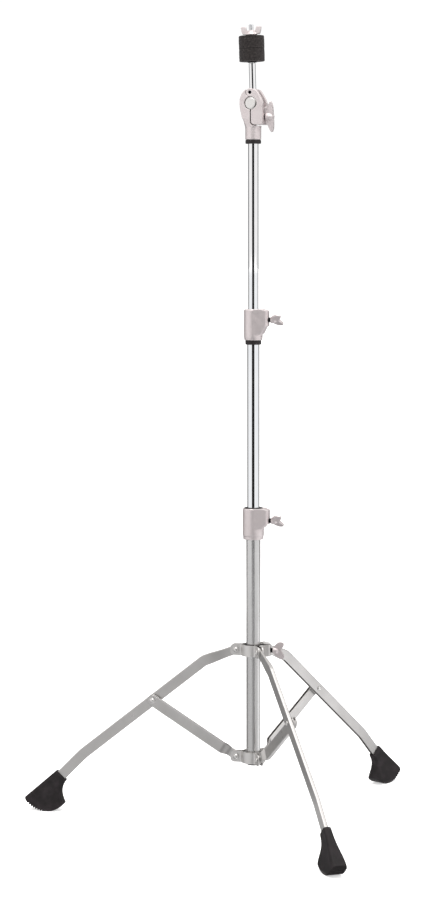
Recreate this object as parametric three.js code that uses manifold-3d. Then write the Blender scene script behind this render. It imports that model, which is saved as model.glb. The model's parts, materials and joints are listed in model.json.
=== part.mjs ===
// Straight cymbal stand: a folding base on three channel legs, two sliding tubes and a tilter.
// Millimetres and degrees, +Z up, standing on the floor at z = 0.
import * as THREE from 'three';
import { mergeVertices } from 'three/addons/utils/BufferGeometryUtils.js';
import Module from 'manifold-3d';

const wasm = await Module();
wasm.setup();

// Gaps and cuts that the whole stand shares
const clearance = 0.3;          // gap between neighbouring pieces
const overrun = 6;              // how far a cutting body passes the surface that it cuts
const roundSides = 20;          // facets of a tube, collar or hub
const smallSides = 12;          // facets of a bolt, pin or rivet
const holeSides = 8;            // facets of a rivet hole, hidden under its head
const cornerSteps = 3;          // facets of a rounded corner in plan

// Base: three legs, each with a brace of equal working length
const legCount = 3;
const legNames = ['front', 'right', 'left'];
const stripNames = ['right', 'back', 'left'];
const firstLegAzimuth = -70.5;  // the front leg; the others follow every 120 degrees
const fullTurn = 360;
const straightAngle = 180;
const legSpacing = fullTurn / legCount;
const linkLength = 158;         // hub pivot to the rivet that joins leg and brace
const spreadAngle = 57.5;       // between a brace and the mast when the base is open
const pivotRadius = 27;         // hub pivots from the mast's axis
const leg = {
  width: 6.4,
  height: 16.6,
  wall: 1.5,
  cornerRadius: 1.4,
  mainSlope: 38.6,              // long straight part, below the horizontal
  endSlope: 45.4,               // short part that carries the foot
  upperBendOut: 51.6,           // hub pivot to the upper bend, measured outwards
  lowerBendOut: 115.4,          // leg rivet to the lower bend, measured outwards
  bendLength: 12,
  endLength: 73.4,              // lower bend to the leg's end inside the foot
  tongueWidth: 3.9,
  tongueHeight: 14,
  tongueLength: 15,             // flat part beyond the hub pivot
};
const brace = { width: 6.4, height: 17.3, wall: 1.5, cornerRadius: 1.4, joggleAt: 12, joggleLength: 16 };
const lapGap = clearance;       // between leg and brace where they lie side by side
const rivet = {
  shankRadius: 2.6, headRadius: 4.9, headHeight: 2.7, tailRadius: 3.9, tailHeight: 1.5,
  headSteps: 3, tailSteps: 2,
};

// Hubs: three bent strips round a sleeve
const strip = { thickness: 2, height: 17.7, reach: 36, cornerReach: 4, bendSlack: 8 };
const sleeve = { outerRadius: 14.7, height: 16.2 };
const pocket = { reach: 27.6, innerHalfWidth: 5.8, mouthFlare: 1.2, bendSlack: 6 };
const clampNut = { width: 11, thickness: 5 };

// Feet: rubber paddles with a curved sole
const foot = {
  topHalf: 11,                  // half of the top edge, across the leg
  topWidth: 12.6,
  soleWidth: 24.5,
  outerTipDown: 68.9,           // tips of the sole, measured down the leg and across it
  outerTipAcross: 16.4,
  innerTipDown: 30.4,
  innerTipAcross: 35.4,
  waistDown: 17.9,
  waistAcross: 17.4,
  soleRadius: 40,
  edge: 1,                      // bevel round the mouth and the sole
  flatDepth: 0.4,               // how much of the sole's curve the rest face takes off
  socketDepth: 24,
  grooveDepth: 1.4,
  grooveWidth: 2,
  groovePitch: 4.2,
  grooveCount: 7,
  grooveStart: 6.7,             // first groove, along the sole from under its centre
};

// Mast: three tubes, one inside the other
const tubeWall = 1.2;
const lowerTube = { radius: 11.1, length: 373.6, belowPivot: 8.6 };
const middleTube = { radius: 9.525, length: 392, rise: 283 };
const upperTube = { radius: 7.95, length: 387, rise: 276.4 };
const endPlug = { flange: 3.6, spigot: 14, innerRadius: 5 };
const slidePlug = { flange: 4, spigot: 12, innerRadius: 4.5, runningGap: 0.35 };

// Height clamps: cast collars, each with a boss that carries a wing bolt
const lowerCollar = {
  radius: 16.6, height: 48.8, seatDepth: 21, bossReach: 25.7, bossHalfWidth: 8, boltHeight: 29.7,
  bossBottom: 24.5, bossFoot: 17.5, bossDrop: 2.4, lipHeight: 5.4, lipStep: 0.8, edge: 1.5, azimuth: -15,
};
const upperCollar = {
  radius: 14.5, height: 47.7, seatDepth: 22, bossReach: 24.7, bossHalfWidth: 7.6, boltHeight: 31.5,
  bossBottom: 22, bossFoot: 8.5, bossDrop: 2.4, lipHeight: 3.5, lipStep: 0.5, edge: 1.5, azimuth: -15,
};
const lowerBush = { outerRadius: 14.2, depth: 9, proud: 0.8 };
const upperBush = { flangeRadius: 12.3, flangeHeight: 6.5, sleeveWall: 1.2, sleeveHeight: 10 };
const drainHole = { radius: 1.5, depth: 2.5, height: 5.5, turn: 35 };

// Wing bolts; the small ones clamp the hub and the tubes, the large one the tilter
const bolt = { radius: 3.9, tipGap: 0.3 };
const smallWing = {
  hubRadius: 5.4, hubLength: 9, faceGap: 3.2, reach: 20.6, halfSpan: 14, thickness: 4.6, edge: 0.9,
};
const largeWing = {
  hubRadius: 6.2, hubLength: 12, faceGap: 1.2, reach: 12.5, halfSpan: 23.5, thickness: 6, edge: 1.2,
};
const lowerWingTurn = 62;       // how each wing happens to stand, about its bolt
const upperWingTurn = 68;
const hubWingTurn = 12;
const tilterWingTurn = 8;

// Tilter: a cast body and a jaw that clamp a barrel, with the rod across the barrel
const tilter = {
  azimuth: -20,
  barrelHeight: 38.2,           // barrel's axis above the upper tube's top
  barrelRadius: 9.2,
  barrelProud: 0.9,
  depth: 26,
  slotWidth: 11.6,              // the rod's way between the two cheeks
  splitGap: 1.5,
  edge: 1.5,                    // bevel round the castings' faces
  pinAcross: -1.1,
  pinUp: 16.2,
  pinRadius: 2.2,
  pinRecess: 2,
  pinRecessRadius: 1.3,
  knuckleRadius: 6.3,
  earThickness: 3,
  bodyLeft: 18.2,
  bodyTop: 20.5,
  jawRight: 19.4,
  jawTop: 21.4,
  jawBottom: 29.6,
  boltDown: 20.8,
  boltTip: 9.1,                 // the wing bolt's end, past the split, in the body
  boltPlay: 0.9,                // room for the bolt where the jaw rocks on it
  shoulderDown: 34.8,
  socketRadius: 12.3,
  socketBottom: 55.2,
  socketDepth: 17,
  slotFloor: 6.2,               // how far below the barrel's axis the jaw's slot reaches
};
const stopRing = { outerRadius: 12, height: 6.9 };
const setScrew = { radius: 1.9, socketRadius: 1.05, length: 4.5, recess: 0.4, above: 11, turn: 35 };

// Cymbal post
const rod = {
  radius: 5.2, lean: -1.7, shoulderUp: 60.6, threadRadius: 3.9, tipUp: 120, tail: 6, tipChamfer: 1.2,
};
const sleevePost = { radius: 5.6, flangeRadius: 9, flangeHeight: 2, height: 40 };
const felt = { radius: 19.6, thickness: 19.3, boreGap: 0.4, edge: 1.2, gap: 0.4 };
const wingNut = {
  baseRadius: 9, rimHeight: 1.8, baseHeight: 3, hubRadius: 6.8, hubTopRadius: 5.8, hubHeight: 6.8,
  wingTop: 13.2, halfSpan: 16.2, thickness: 4.4, edge: 0.8, turn: 6,
};

// Finishes
function finish(color, roughness, metalness) {
  return new THREE.MeshStandardMaterial({ color, roughness, metalness });
}

const chromedTube = finish(0xe8eaec, 0.06, 1);
const satinTube = finish(0xb9bbbf, 0.28, 1);
const castMetal = finish(0xc9c0c1, 0.38, 0.9);
const pressedSteel = finish(0xb4b6b8, 0.32, 1);
const brightSteel = finish(0xd6d4d3, 0.18, 1);
const nylon = finish(0x1d1c1e, 0.5, 0);
const rubber = finish(0x161618, 0.75, 0);
const feltCloth = finish(0x242326, 0.95, 0);

const radians = THREE.MathUtils.degToRad;
const sine = (angle) => Math.sin(radians(angle));
const cosine = (angle) => Math.cos(radians(angle));
const tangent = (angle) => Math.tan(radians(angle));

// Turns a closed triangle mesh into a solid that can be joined and cut
function toSolid(geometry) {
  const bare = geometry.clone();
  bare.deleteAttribute('normal');
  bare.deleteAttribute('uv');
  const merged = mergeVertices(bare);
  const index = merged.index.array;
  const triangles = [];
  for (let i = 0; i < index.length; i += 3) {
    const [a, b, c] = index.slice(i, i + 3);
    if (a !== b && b !== c && c !== a) triangles.push(a, b, c);
  }
  const vertProperties = new Float32Array(merged.attributes.position.array);
  const triVerts = new Uint32Array(triangles);
  return new wasm.Manifold(new wasm.Mesh({ numProp: 3, vertProperties, triVerts }));
}

function toGeometry(solid) {
  const { vertProperties, triVerts } = solid.getMesh();
  const geometry = new THREE.BufferGeometry();
  geometry.setAttribute('position', new THREE.BufferAttribute(new Float32Array(vertProperties), 3));
  geometry.setIndex(new THREE.BufferAttribute(new Uint32Array(triVerts), 1));
  geometry.computeVertexNormals();
  return geometry;
}

// Joins bodies, cuts the others out of the first, or keeps what two bodies share
function join(first, ...others) {
  return toGeometry(others.reduce((sum, other) => sum.add(toSolid(other)), toSolid(first)));
}

function cut(first, ...others) {
  return toGeometry(others.reduce((rest, other) => rest.subtract(toSolid(other)), toSolid(first)));
}

function common(first, second) {
  return toGeometry(toSolid(first).intersect(toSolid(second)));
}

// Basic bodies; a revolved profile is a list of [radius, height]
function revolve(profile, sides = roundSides) {
  const points = profile.map(([radius, height]) => new THREE.Vector2(radius, height));
  return new THREE.LatheGeometry(points, sides).rotateX(Math.PI / 2);
}

function shaft(radius, from, to, sides = smallSides) {
  return revolve([[0, from], [radius, from], [radius, to], [0, to]], sides);
}

function pipe(outer, inner, from, to, sides = roundSides) {
  return revolve([[inner, from], [outer, from], [outer, to], [inner, to], [inner, from]], sides);
}

function block(xFrom, xTo, yFrom, yTo, zFrom, zTo) {
  const geometry = new THREE.BoxGeometry(xTo - xFrom, yTo - yFrom, zTo - zFrom);
  return geometry.translate((xFrom + xTo) / 2, (yFrom + yTo) / 2, (zFrom + zTo) / 2);
}

function outline(points) {
  return new THREE.Shape(points.map(([x, y]) => new THREE.Vector2(x, y)));
}

// An outline drawn in plan and raised between two heights
function raise(shape, from, to) {
  const options = { depth: to - from, bevelEnabled: false, curveSegments: cornerSteps };
  return new THREE.ExtrudeGeometry(shape, options).translate(0, 0, from);
}

// An outline drawn in the upright XZ plane and given a thickness along Y
function stand(shape, yFrom, yTo, bevel = 0) {
  const options = {
    depth: yTo - yFrom - 2 * bevel, bevelEnabled: bevel > 0, bevelSize: bevel, bevelThickness: bevel,
    bevelOffset: -bevel, bevelSegments: 1,
  };
  return new THREE.ExtrudeGeometry(shape, options).translate(0, 0, bevel - yTo).rotateX(Math.PI / 2);
}

// A closed body through rings of points; capFaces are the triangles that close one ring
function loft(rings, capFaces) {
  const count = rings[0].length;
  const last = (rings.length - 1) * count;
  const index = [];
  for (let i = 0; i < rings.length - 1; i++) {
    for (let j = 0; j < count; j++) {
      const near = i * count;
      const next = (j + 1) % count;
      const far = near + count;
      index.push(near + j, near + next, far + next, near + j, far + next, far + j);
    }
  }
  for (const [a, b, c] of capFaces) index.push(a, c, b, last + a, last + b, last + c);
  const geometry = new THREE.BufferGeometry();
  const places = rings.flat().flatMap((point) => point.toArray());
  geometry.setAttribute('position', new THREE.Float32BufferAttribute(places, 3));
  geometry.setIndex(index);
  return geometry;
}

const standModel = new THREE.Group();

function place(name, geometry, material, parent) {
  const mesh = new THREE.Mesh(geometry, material);
  mesh.name = name;
  parent.add(mesh);
  return mesh;
}

// Moves a geometry drawn along +Z so that it lies along +X
const alongX = (geometry) => geometry.rotateY(Math.PI / 2);
// Moves a geometry drawn along +Z so that it lies along +Y
const alongY = (geometry) => geometry.rotateX(-Math.PI / 2);

// Base geometry, worked out from the leg's shape: heights count from the floor
const legPath = legCorners();
const soleLift = foot.soleRadius - foot.flatDepth - soleCentre().z;
const upperPivot = soleLift;
const linkRise = 2 * linkLength * cosine(spreadAngle);
const lowerPivot = upperPivot - linkRise;
const legRivetPlace = new THREE.Vector2(
  pivotRadius + linkLength * sine(spreadAngle), upperPivot - linkLength * cosine(spreadAngle));
const tubeBottom = lowerPivot - lowerTube.belowPivot;
const lowerTubeTop = tubeBottom + lowerTube.length;
const lowerCollarBottom = lowerTubeTop - lowerCollar.seatDepth;
const lowerCollarTop = lowerCollarBottom + lowerCollar.height;
const middleTubeTop = lowerCollarTop + middleTube.rise;
const upperCollarBottom = middleTubeTop - upperCollar.seatDepth;
const upperCollarTop = upperCollarBottom + upperCollar.height;
const upperTubeTop = upperCollarTop + upperTube.rise;
const barrelHeight = upperTubeTop + tilter.barrelHeight;

// Corners of the leg's centre line, from the hub pivot, as outward and upward distances
function legCorners() {
  const rivetOut = linkLength * sine(spreadAngle);
  const rivetUp = -linkLength * cosine(spreadAngle);
  const upperBend = new THREE.Vector2(
    leg.upperBendOut, rivetUp + (rivetOut - leg.upperBendOut) * tangent(leg.mainSlope));
  const lowerBend = new THREE.Vector2(
    rivetOut + leg.lowerBendOut, rivetUp - leg.lowerBendOut * tangent(leg.mainSlope));
  const end = new THREE.Vector2(
    lowerBend.x + leg.endLength * cosine(leg.endSlope), lowerBend.y - leg.endLength * sine(leg.endSlope));
  return { pivot: new THREE.Vector2(0, 0), upperBend, lowerBend, end };
}

// The foot's own axes: down the leg's end, and across it, outwards
function footAxes() {
  const down = new THREE.Vector2(cosine(leg.endSlope), -sine(leg.endSlope));
  const across = new THREE.Vector2(sine(leg.endSlope), cosine(leg.endSlope));
  const mouth = legPath.end.clone().addScaledVector(down, clearance - foot.socketDepth);
  return { down, across, mouth };
}

function footPoint(down, across) {
  const axes = footAxes();
  return axes.mouth.clone().addScaledVector(axes.down, down).addScaledVector(axes.across, across);
}

// Centre of the sole's curve in the leg's plane, from the hub pivot
function soleCentre() {
  const outer = footPoint(foot.outerTipDown, foot.outerTipAcross);
  const inner = footPoint(foot.innerTipDown, -foot.innerTipAcross);
  const middle = outer.clone().add(inner).multiplyScalar(0.5);
  const chord = outer.clone().sub(inner);
  const rise = Math.sqrt(foot.soleRadius ** 2 - chord.lengthSq() / 4);
  const upward = new THREE.Vector2(-chord.y, chord.x).normalize();
  const centre = middle.addScaledVector(upward, rise);
  return { x: centre.x, z: centre.y };
}

// A channel pressed from strip: its stations carry place, slope, sideways offset and size
function channel(stations, wall, cornerRadius, openDown) {
  const rings = stations.map((station) => {
    const half = station.width / 2;
    const tall = station.height / 2;
    const inner = Math.max(half - wall, clearance / 2);
    const corner = Math.min(cornerRadius, half - inner);
    const section = [
      [-half, -tall], [-inner, -tall], [-inner, tall - wall], [inner, tall - wall], [inner, -tall],
      [half, -tall], [half, tall - corner], [half - corner, tall], [corner - half, tall],
      [-half, tall - corner],
    ];
    const upright = openDown ? section : section.map(([side, up]) => [-side, -up]);
    const normal = new THREE.Vector3(-sine(station.slope), 0, cosine(station.slope));
    return upright.map(([side, up]) => new THREE.Vector3(station.out, station.offset + side, station.up)
      .addScaledVector(normal, up));
  });
  return loft(rings, channelCaps);
}

// Triangles that close the channel's end: two walls and the web
const channelCaps = [
  [0, 1, 2], [0, 2, 9], [9, 2, 8], [8, 2, 3], [8, 3, 7], [7, 3, 6], [6, 3, 4], [6, 4, 5],
];

// Rounds the end of a flat bar about a pivot; slope is the bar's direction beyond the pivot
function endRounder(pivot, slope, radius, halfWidth) {
  const size = radius + overrun;
  const corner = block(-size, 0, -halfWidth, halfWidth, -size, size);
  const round = alongY(shaft(radius, -halfWidth - overrun, halfWidth + overrun));
  return cut(corner, round).rotateY(-radians(slope)).translate(pivot.x, 0, pivot.y);
}

// A rivet's hole along Y through the leg's plane
function rivetHole(pivot, halfWidth) {
  const hole = shaft(rivet.shankRadius + clearance, -halfWidth, halfWidth, holeSides);
  return alongY(hole).translate(pivot.x, 0, pivot.y);
}

const mix = THREE.MathUtils.lerp;

// How a leg grows from its flat tongue to the upper bend: place, width and height
const legTaperShares = [[0, 0, 0], [0.45, 0.5, 0.4], [1, 1, 1]];
// How a brace steps sideways to lie beside its leg: place, sideways offset and size
const braceJoggleShares = [[0, 0, 0], [0.3, 0.2, 0.6], [0.7, 0.8, 1], [1, 1, 1]];
// Where the leg's half and the brace's half of a crossing rivet meet, from the leg's plane
const rivetParting = (leg.width + lapGap) / 2;

// One leg, in its own upright plane: hub pivot inside, foot outside
function makeLeg() {
  const firstSlope = THREE.MathUtils.radToDeg(Math.atan2(legPath.upperBend.y, legPath.upperBend.x));
  const half = leg.bendLength / 2;
  const stations = [];
  const walk = (from, distance, slope, [widthShare, heightShare] = [1, 1]) => stations.push({
    out: pivotRadius + from.x + distance * cosine(slope),
    up: upperPivot + from.y + distance * sine(slope),
    slope,
    offset: 0,
    width: mix(leg.tongueWidth, leg.width, widthShare),
    height: mix(leg.tongueHeight, leg.height, heightShare),
  });
  const firstLength = legPath.upperBend.length();
  const endRadius = leg.tongueHeight / 2;
  walk(legPath.pivot, -endRadius, firstSlope, [0, 0]);
  for (const [placeShare, ...sizeShares] of legTaperShares) {
    const reach = mix(leg.tongueLength, firstLength - half, placeShare);
    walk(legPath.pivot, reach, firstSlope, sizeShares);
  }
  walk(legPath.upperBend, 0, -(leg.mainSlope - firstSlope) / 2);
  walk(legPath.upperBend, half, -leg.mainSlope);
  walk(legPath.lowerBend, -half, -leg.mainSlope);
  walk(legPath.lowerBend, 0, -(leg.mainSlope + leg.endSlope) / 2);
  walk(legPath.lowerBend, half, -leg.endSlope);
  walk(legPath.lowerBend, leg.endLength, -leg.endSlope);
  const bar = channel(stations, leg.wall, leg.cornerRadius, true);
  const hubPivot = new THREE.Vector2(pivotRadius, upperPivot);
  return cut(
    bar,
    endRounder(hubPivot, firstSlope, endRadius, leg.tongueWidth),
    rivetHole(hubPivot, leg.tongueWidth),
    rivetHole(legRivetPlace, leg.width * 2),
  );
}

// One brace, from the lower hub's pivot up to the leg's rivet
function makeBrace() {
  const offset = rivetParting + (lapGap + brace.width) / 2;
  const slope = 90 - spreadAngle;
  const backwards = slope + straightAngle;
  const lowRadius = leg.tongueHeight / 2;
  const highRadius = brace.height / 2;
  const hubPivot = new THREE.Vector2(pivotRadius, lowerPivot);
  const station = (distance, sideShare, sizeShare) => ({
    out: hubPivot.x + distance * cosine(slope),
    up: hubPivot.y + distance * sine(slope),
    slope,
    offset: offset * sideShare,
    width: mix(leg.tongueWidth, brace.width, sizeShare),
    height: mix(leg.tongueHeight, brace.height, sizeShare),
  });
  const stations = [
    station(-lowRadius, 0, 0),
    ...braceJoggleShares.map(([placeShare, sideShare, sizeShare]) => (
      station(brace.joggleAt + brace.joggleLength * placeShare, sideShare, sizeShare))),
    station(linkLength + highRadius, 1, 1),
  ];
  const bar = channel(stations, brace.wall, brace.cornerRadius, false);
  return cut(
    bar,
    endRounder(hubPivot, slope, lowRadius, leg.tongueWidth),
    endRounder(legRivetPlace, backwards, highRadius, brace.width * 2),
    rivetHole(hubPivot, leg.tongueWidth),
    rivetHole(legRivetPlace, brace.width * 2),
  );
}

// Half of a rivet: a shank and a domed head, drawn along +Z with the head's seat at zero
function domedRivet(shankEnd, headRadius, headHeight, steps) {
  const profile = [[0, shankEnd], [rivet.shankRadius, shankEnd], [rivet.shankRadius, 0], [headRadius, 0]];
  for (let i = 1; i <= steps; i++) {
    const angle = (90 * i) / steps;
    profile.push([headRadius * cosine(angle), headHeight * sine(angle)]);
  }
  profile[profile.length - 1][0] = 0;
  return revolve(profile, smallSides);
}

// A hub rivet: domed on the side that faces the leg's +Y side, closed by a flat tail
function hubRivet() {
  const seat = leg.tongueWidth / 2 + clearance + strip.thickness + clearance;
  const head = domedRivet(-2 * seat, rivet.headRadius, rivet.headHeight, rivet.headSteps);
  head.translate(0, 0, seat);
  const tail = domedRivet(-seat, rivet.tailRadius, rivet.tailHeight, rivet.tailSteps);
  tail.rotateX(Math.PI).translate(0, 0, -seat);
  return alongY(join(head, tail));
}

// The rivet where leg and brace cross: the brace holds its head, the leg its tail
function braceRivet() {
  const seat = rivetParting + lapGap / 2 + brace.width + clearance;
  const head = domedRivet(rivetParting - seat, rivet.headRadius, rivet.headHeight, rivet.headSteps);
  return alongY(head.translate(0, 0, seat));
}

function legRivet() {
  const seat = leg.width / 2 + clearance;
  const tail = domedRivet(-seat - rivetParting, rivet.tailRadius, rivet.tailHeight, rivet.tailSteps);
  return alongY(tail.translate(0, 0, seat).rotateX(Math.PI));
}

// A strip of even thickness along a line in plan; a sharp bend widens it no more than the mitre allows
const mitreShare = 0.5;
function ribbon(points, thickness) {
  const left = [];
  const right = [];
  points.forEach((point, i) => {
    const before = points[Math.max(i - 1, 0)];
    const after = points[Math.min(i + 1, points.length - 1)];
    const inward = point.clone().sub(before);
    const outward = after.clone().sub(point);
    const first = (inward.lengthSq() ? inward : outward).clone().normalize();
    const second = (outward.lengthSq() ? outward : inward).clone().normalize();
    const direction = first.clone().add(second).normalize();
    const normal = new THREE.Vector2(-direction.y, direction.x);
    const reach = thickness / 2 / Math.max(direction.dot(first), mitreShare);
    left.push(point.clone().addScaledVector(normal, reach));
    right.unshift(point.clone().addScaledVector(normal, -reach));
  });
  return new THREE.Shape([...left, ...right].reverse());
}

// One hub strip: a tab beside each of two legs and a bend round the sleeve between them
function hubStrip(pivotHeight, hasPocket) {
  const side = leg.tongueWidth / 2 + clearance + strip.thickness / 2;
  const bend = sleeve.outerRadius + clearance + strip.thickness / 2;
  const halfSpacing = legSpacing / 2;
  const start = THREE.MathUtils.radToDeg(Math.asin(side / bend));
  const root = bend * cosine(start) + strip.thickness;
  const centre = new THREE.Vector2();
  const tabPoint = (reach) => new THREE.Vector2(reach, side).rotateAround(centre, -radians(halfSpacing));
  const points = [tabPoint(strip.reach), tabPoint(root)];
  const firstAngle = halfSpacing - start - strip.bendSlack;
  const mouth = pocket.innerHalfWidth + strip.thickness / 2;
  const mouthAngle = THREE.MathUtils.radToDeg(Math.asin((mouth + pocket.mouthFlare) / bend));
  const lastAngle = hasPocket ? mouthAngle + pocket.bendSlack : 0;
  const steps = hasPocket ? 2 : 4;
  for (let i = 0; i <= steps; i++) {
    const angle = radians(mix(firstAngle, lastAngle, i / steps));
    points.push(new THREE.Vector2(bend * Math.cos(angle), -bend * Math.sin(angle)));
  }
  if (hasPocket) {
    points.push(new THREE.Vector2(bend + strip.thickness, -mouth - pocket.mouthFlare / 2));
    points.push(new THREE.Vector2(pocket.reach - strip.thickness / 2, -mouth));
  }
  const repeated = points.slice(0, hasPocket ? points.length : -1);
  const line = [...points, ...repeated.map(({ x, y }) => new THREE.Vector2(x, -y)).reverse()];
  const half = strip.height / 2;
  const band = raise(ribbon(line, strip.thickness), -half, half);
  const rim = tabEndShares.map(([inShare, upShare]) => (
    [strip.reach - inShare * strip.cornerReach, upShare * half]));
  const dish = revolve([[0, -half], ...rim, [0, half]]);
  const rivetPlace = new THREE.Vector2(pivotRadius, 0);
  const holes = [-halfSpacing, halfSpacing].map((angle) => (
    rivetHole(rivetPlace, 2 * side).rotateZ(radians(angle))));
  if (hasPocket) holes.push(alongX(shaft(bolt.radius + clearance, bend, pocket.reach + overrun)));
  return cut(common(band, dish), ...holes).translate(0, 0, pivotHeight);
}

// The rounded end of a tab: how far in from its reach, and how high, from its lower to its upper corner
const tabEndShares = [[1, -1], [0.33, -0.62], [0, 0], [0.33, 0.62], [1, 1]];

// A wing bolt along +X: its tip at -reach, the wings' near face at zero
function wingBolt(size, shankLength) {
  const barrel = wingHubShares.map(([out, along]) => [out * size.hubRadius, along * size.hubLength]);
  const hub = alongX(revolve([
    [0, -shankLength], [bolt.radius, -shankLength], [bolt.radius, 0], ...barrel, [0, size.hubLength],
  ], smallSides));
  const wings = [-1, 1].map((side) => {
    const points = wingShares(size).map(([along, out]) => [along * size.reach, side * out * size.halfSpan]);
    const half = size.thickness / 2;
    return stand(outline(side > 0 ? points : points.reverse()), -half, half, size.edge);
  });
  return join(hub, ...wings);
}

// Outline of one wing as shares of its reach and half span
function wingShares(size) {
  return size.reach > size.halfSpan ? flaredWingShares : paddleWingShares;
}
const flaredWingShares = [
  [0.05, 0], [0.62, 0], [0.8, 0.3], [0.96, 0.6], [1, 0.82], [0.89, 0.98], [0.66, 1], [0.4, 0.82],
  [0.05, 0.32],
];
const paddleWingShares = [
  [0.08, 0], [0.86, 0], [0.95, 0.4], [1, 0.78], [0.93, 0.94], [0.72, 1], [0.48, 0.95], [0.3, 0.72],
  [0.08, 0.24],
];
// The bolt's hub from its face to its end: radius and place along it
const wingHubShares = [[0.86, 0], [1, 0.22], [0.86, 0.74], [0.55, 1]];

// Points across one side of the foot, as shares of the half chord and of the half width
const soleShares = [
  [1, 0.62], [0.92, 1], [0.7, 1], [0.44, 1], [0.16, 1], [-0.13, 1], [-0.42, 1], [-0.69, 1], [-0.92, 1],
  [-1, 0.62],
];
// Rings down the foot: place, widening, curve of the ring and bevel, as shares
const footRingShares = [
  [0, 0, 0.01, 1], [0.02, 0, 0.01, 0], [0.3, 0.09, 0.19, 0], [0.62, 0.44, 0.51, 0], [0.95, 0.98, 0.93, 0],
  [1, 1, 1, 0.8],
];

// A foot: rings run from the mouth that takes the leg down to the curved sole
function makeFoot() {
  const ringPoints = 2 * soleShares.length;
  const outerTop = new THREE.Vector2(0, foot.topHalf);
  const innerTop = new THREE.Vector2(0, -foot.topHalf);
  const outerTip = new THREE.Vector2(foot.outerTipDown, foot.outerTipAcross);
  const innerTip = new THREE.Vector2(foot.innerTipDown, -foot.innerTipAcross);
  const waist = new THREE.Vector2(foot.waistDown, -foot.waistAcross);
  const innerEdge = new THREE.QuadraticBezierCurve(innerTop, waist, innerTip);
  const axes = footAxes();
  const rings = footRingShares.map(([placeShare, widthShare, curveShare, edgeShare]) => {
    const outer = outerTop.clone().lerp(outerTip, placeShare);
    const inner = innerEdge.getPoint(placeShare);
    const inset = foot.edge * edgeShare;
    const middle = outer.clone().add(inner).multiplyScalar(0.5);
    const reach = outer.clone().sub(inner).multiplyScalar(0.5);
    const outward = new THREE.Vector2(reach.y, -reach.x).normalize();
    const halfChord = reach.length();
    const radius = foot.soleRadius / curveShare;
    const halfWidth = mix(foot.topWidth, foot.soleWidth, widthShare) / 2 - inset;
    const ring = [];
    for (let j = 0; j < ringPoints; j++) {
      const nearSide = j < soleShares.length;
      const [along, sideShare] = soleShares[nearSide ? j : ringPoints - 1 - j];
      const across = (nearSide ? -1 : 1) * sideShare * halfWidth;
      const chordPlace = along * (halfChord - inset);
      const sag = Math.sqrt(radius ** 2 - chordPlace ** 2) - Math.sqrt(radius ** 2 - halfChord ** 2);
      const flat = middle.clone().addScaledVector(reach, chordPlace / halfChord);
      flat.addScaledVector(outward, sag);
      const point = axes.mouth.clone().addScaledVector(axes.down, flat.x);
      point.addScaledVector(axes.across, flat.y);
      ring.push(new THREE.Vector3(pivotRadius + point.x, across, upperPivot + point.y));
    }
    return ring;
  });
  const caps = [];
  for (let j = 0; j < ringPoints / 2 - 1; j++) {
    const far = ringPoints - 1 - j;
    caps.push([j, j + 1, far], [j + 1, far - 1, far]);
  }
  const body = loft(rings, caps);
  const mouth = new THREE.Vector2(pivotRadius + axes.mouth.x, upperPivot + axes.mouth.y);
  const legHalf = leg.width / 2 + clearance;
  const legTall = leg.height / 2 + clearance;
  const socket = block(-overrun, foot.socketDepth, -legHalf, legHalf, -legTall, legTall);
  socket.rotateY(radians(leg.endSlope)).translate(mouth.x, 0, mouth.y);
  const reach = foot.outerTipDown * 2;
  const floorCut = block(mouth.x - reach, mouth.x + reach, -reach, reach, -reach, 0);
  return cut(body, socket, floorCut, ...soleGrooves());
}

// Grooves across the outer half of the sole
function soleGrooves() {
  const centre = soleCentre();
  const grooves = [];
  for (let i = 0; i < foot.grooveCount; i++) {
    const angle = (foot.grooveStart + i * foot.groovePitch) / foot.soleRadius;
    const groove = block(
      -foot.grooveWidth / 2, foot.grooveWidth / 2, -foot.soleWidth, foot.soleWidth,
      -foot.soleRadius - overrun, foot.grooveDepth - foot.soleRadius);
    groove.rotateY(-angle).translate(pivotRadius + centre.x, 0, upperPivot + centre.z);
    grooves.push(groove);
  }
  return grooves;
}

// Shares of a collar's boss: its rounded corners, where its underside levels out, where its top turns down
const bossCornerShare = 0.7;
const bossHeelShare = 0.88;
const bossTopShare = 0.62;

// A cast collar: a round body and a boss towards +X, bored for two tube sizes
function collar(size, seatRadius, slideRadius, extraCuts) {
  const round = revolve([
    [0, 0], [size.radius - size.lipStep, 0], [size.radius - size.lipStep, size.lipHeight],
    [size.radius, size.lipHeight + size.lipStep], [size.radius, size.height - size.edge],
    [size.radius - size.edge, size.height], [0, size.height],
  ]);
  const corner = size.bossHalfWidth * bossCornerShare;
  const plan = new THREE.Shape();
  plan.moveTo(0, -size.radius);
  plan.lineTo(size.bossReach - corner, -size.bossHalfWidth);
  plan.quadraticCurveTo(size.bossReach, -size.bossHalfWidth, size.bossReach, corner - size.bossHalfWidth);
  plan.lineTo(size.bossReach, size.bossHalfWidth - corner);
  plan.quadraticCurveTo(size.bossReach, size.bossHalfWidth, size.bossReach - corner, size.bossHalfWidth);
  plan.lineTo(0, size.radius);
  const side = outline([
    [-size.radius, size.bossFoot], [size.radius, size.bossFoot],
    [size.bossReach * bossHeelShare, size.bossBottom], [size.bossReach + overrun, size.bossBottom],
    [size.bossReach + overrun, size.height - size.bossDrop], [size.bossReach, size.height - size.bossDrop],
    [size.bossReach * bossTopShare, size.height], [-size.radius, size.height],
  ]);
  const boss = common(raise(plan, size.bossFoot, size.height), stand(side, -size.radius, size.radius));
  const seat = shaft(seatRadius + clearance, -overrun, size.seatDepth + clearance, roundSides);
  const slide = shaft(slideRadius + clearance, 0, size.height + overrun, roundSides);
  const boltHole = alongX(shaft(bolt.radius + clearance, 0, size.bossReach + overrun))
    .translate(0, 0, size.boltHeight);
  return cut(join(round, boss), seat, slide, boltHole, ...extraCuts);
}

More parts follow.
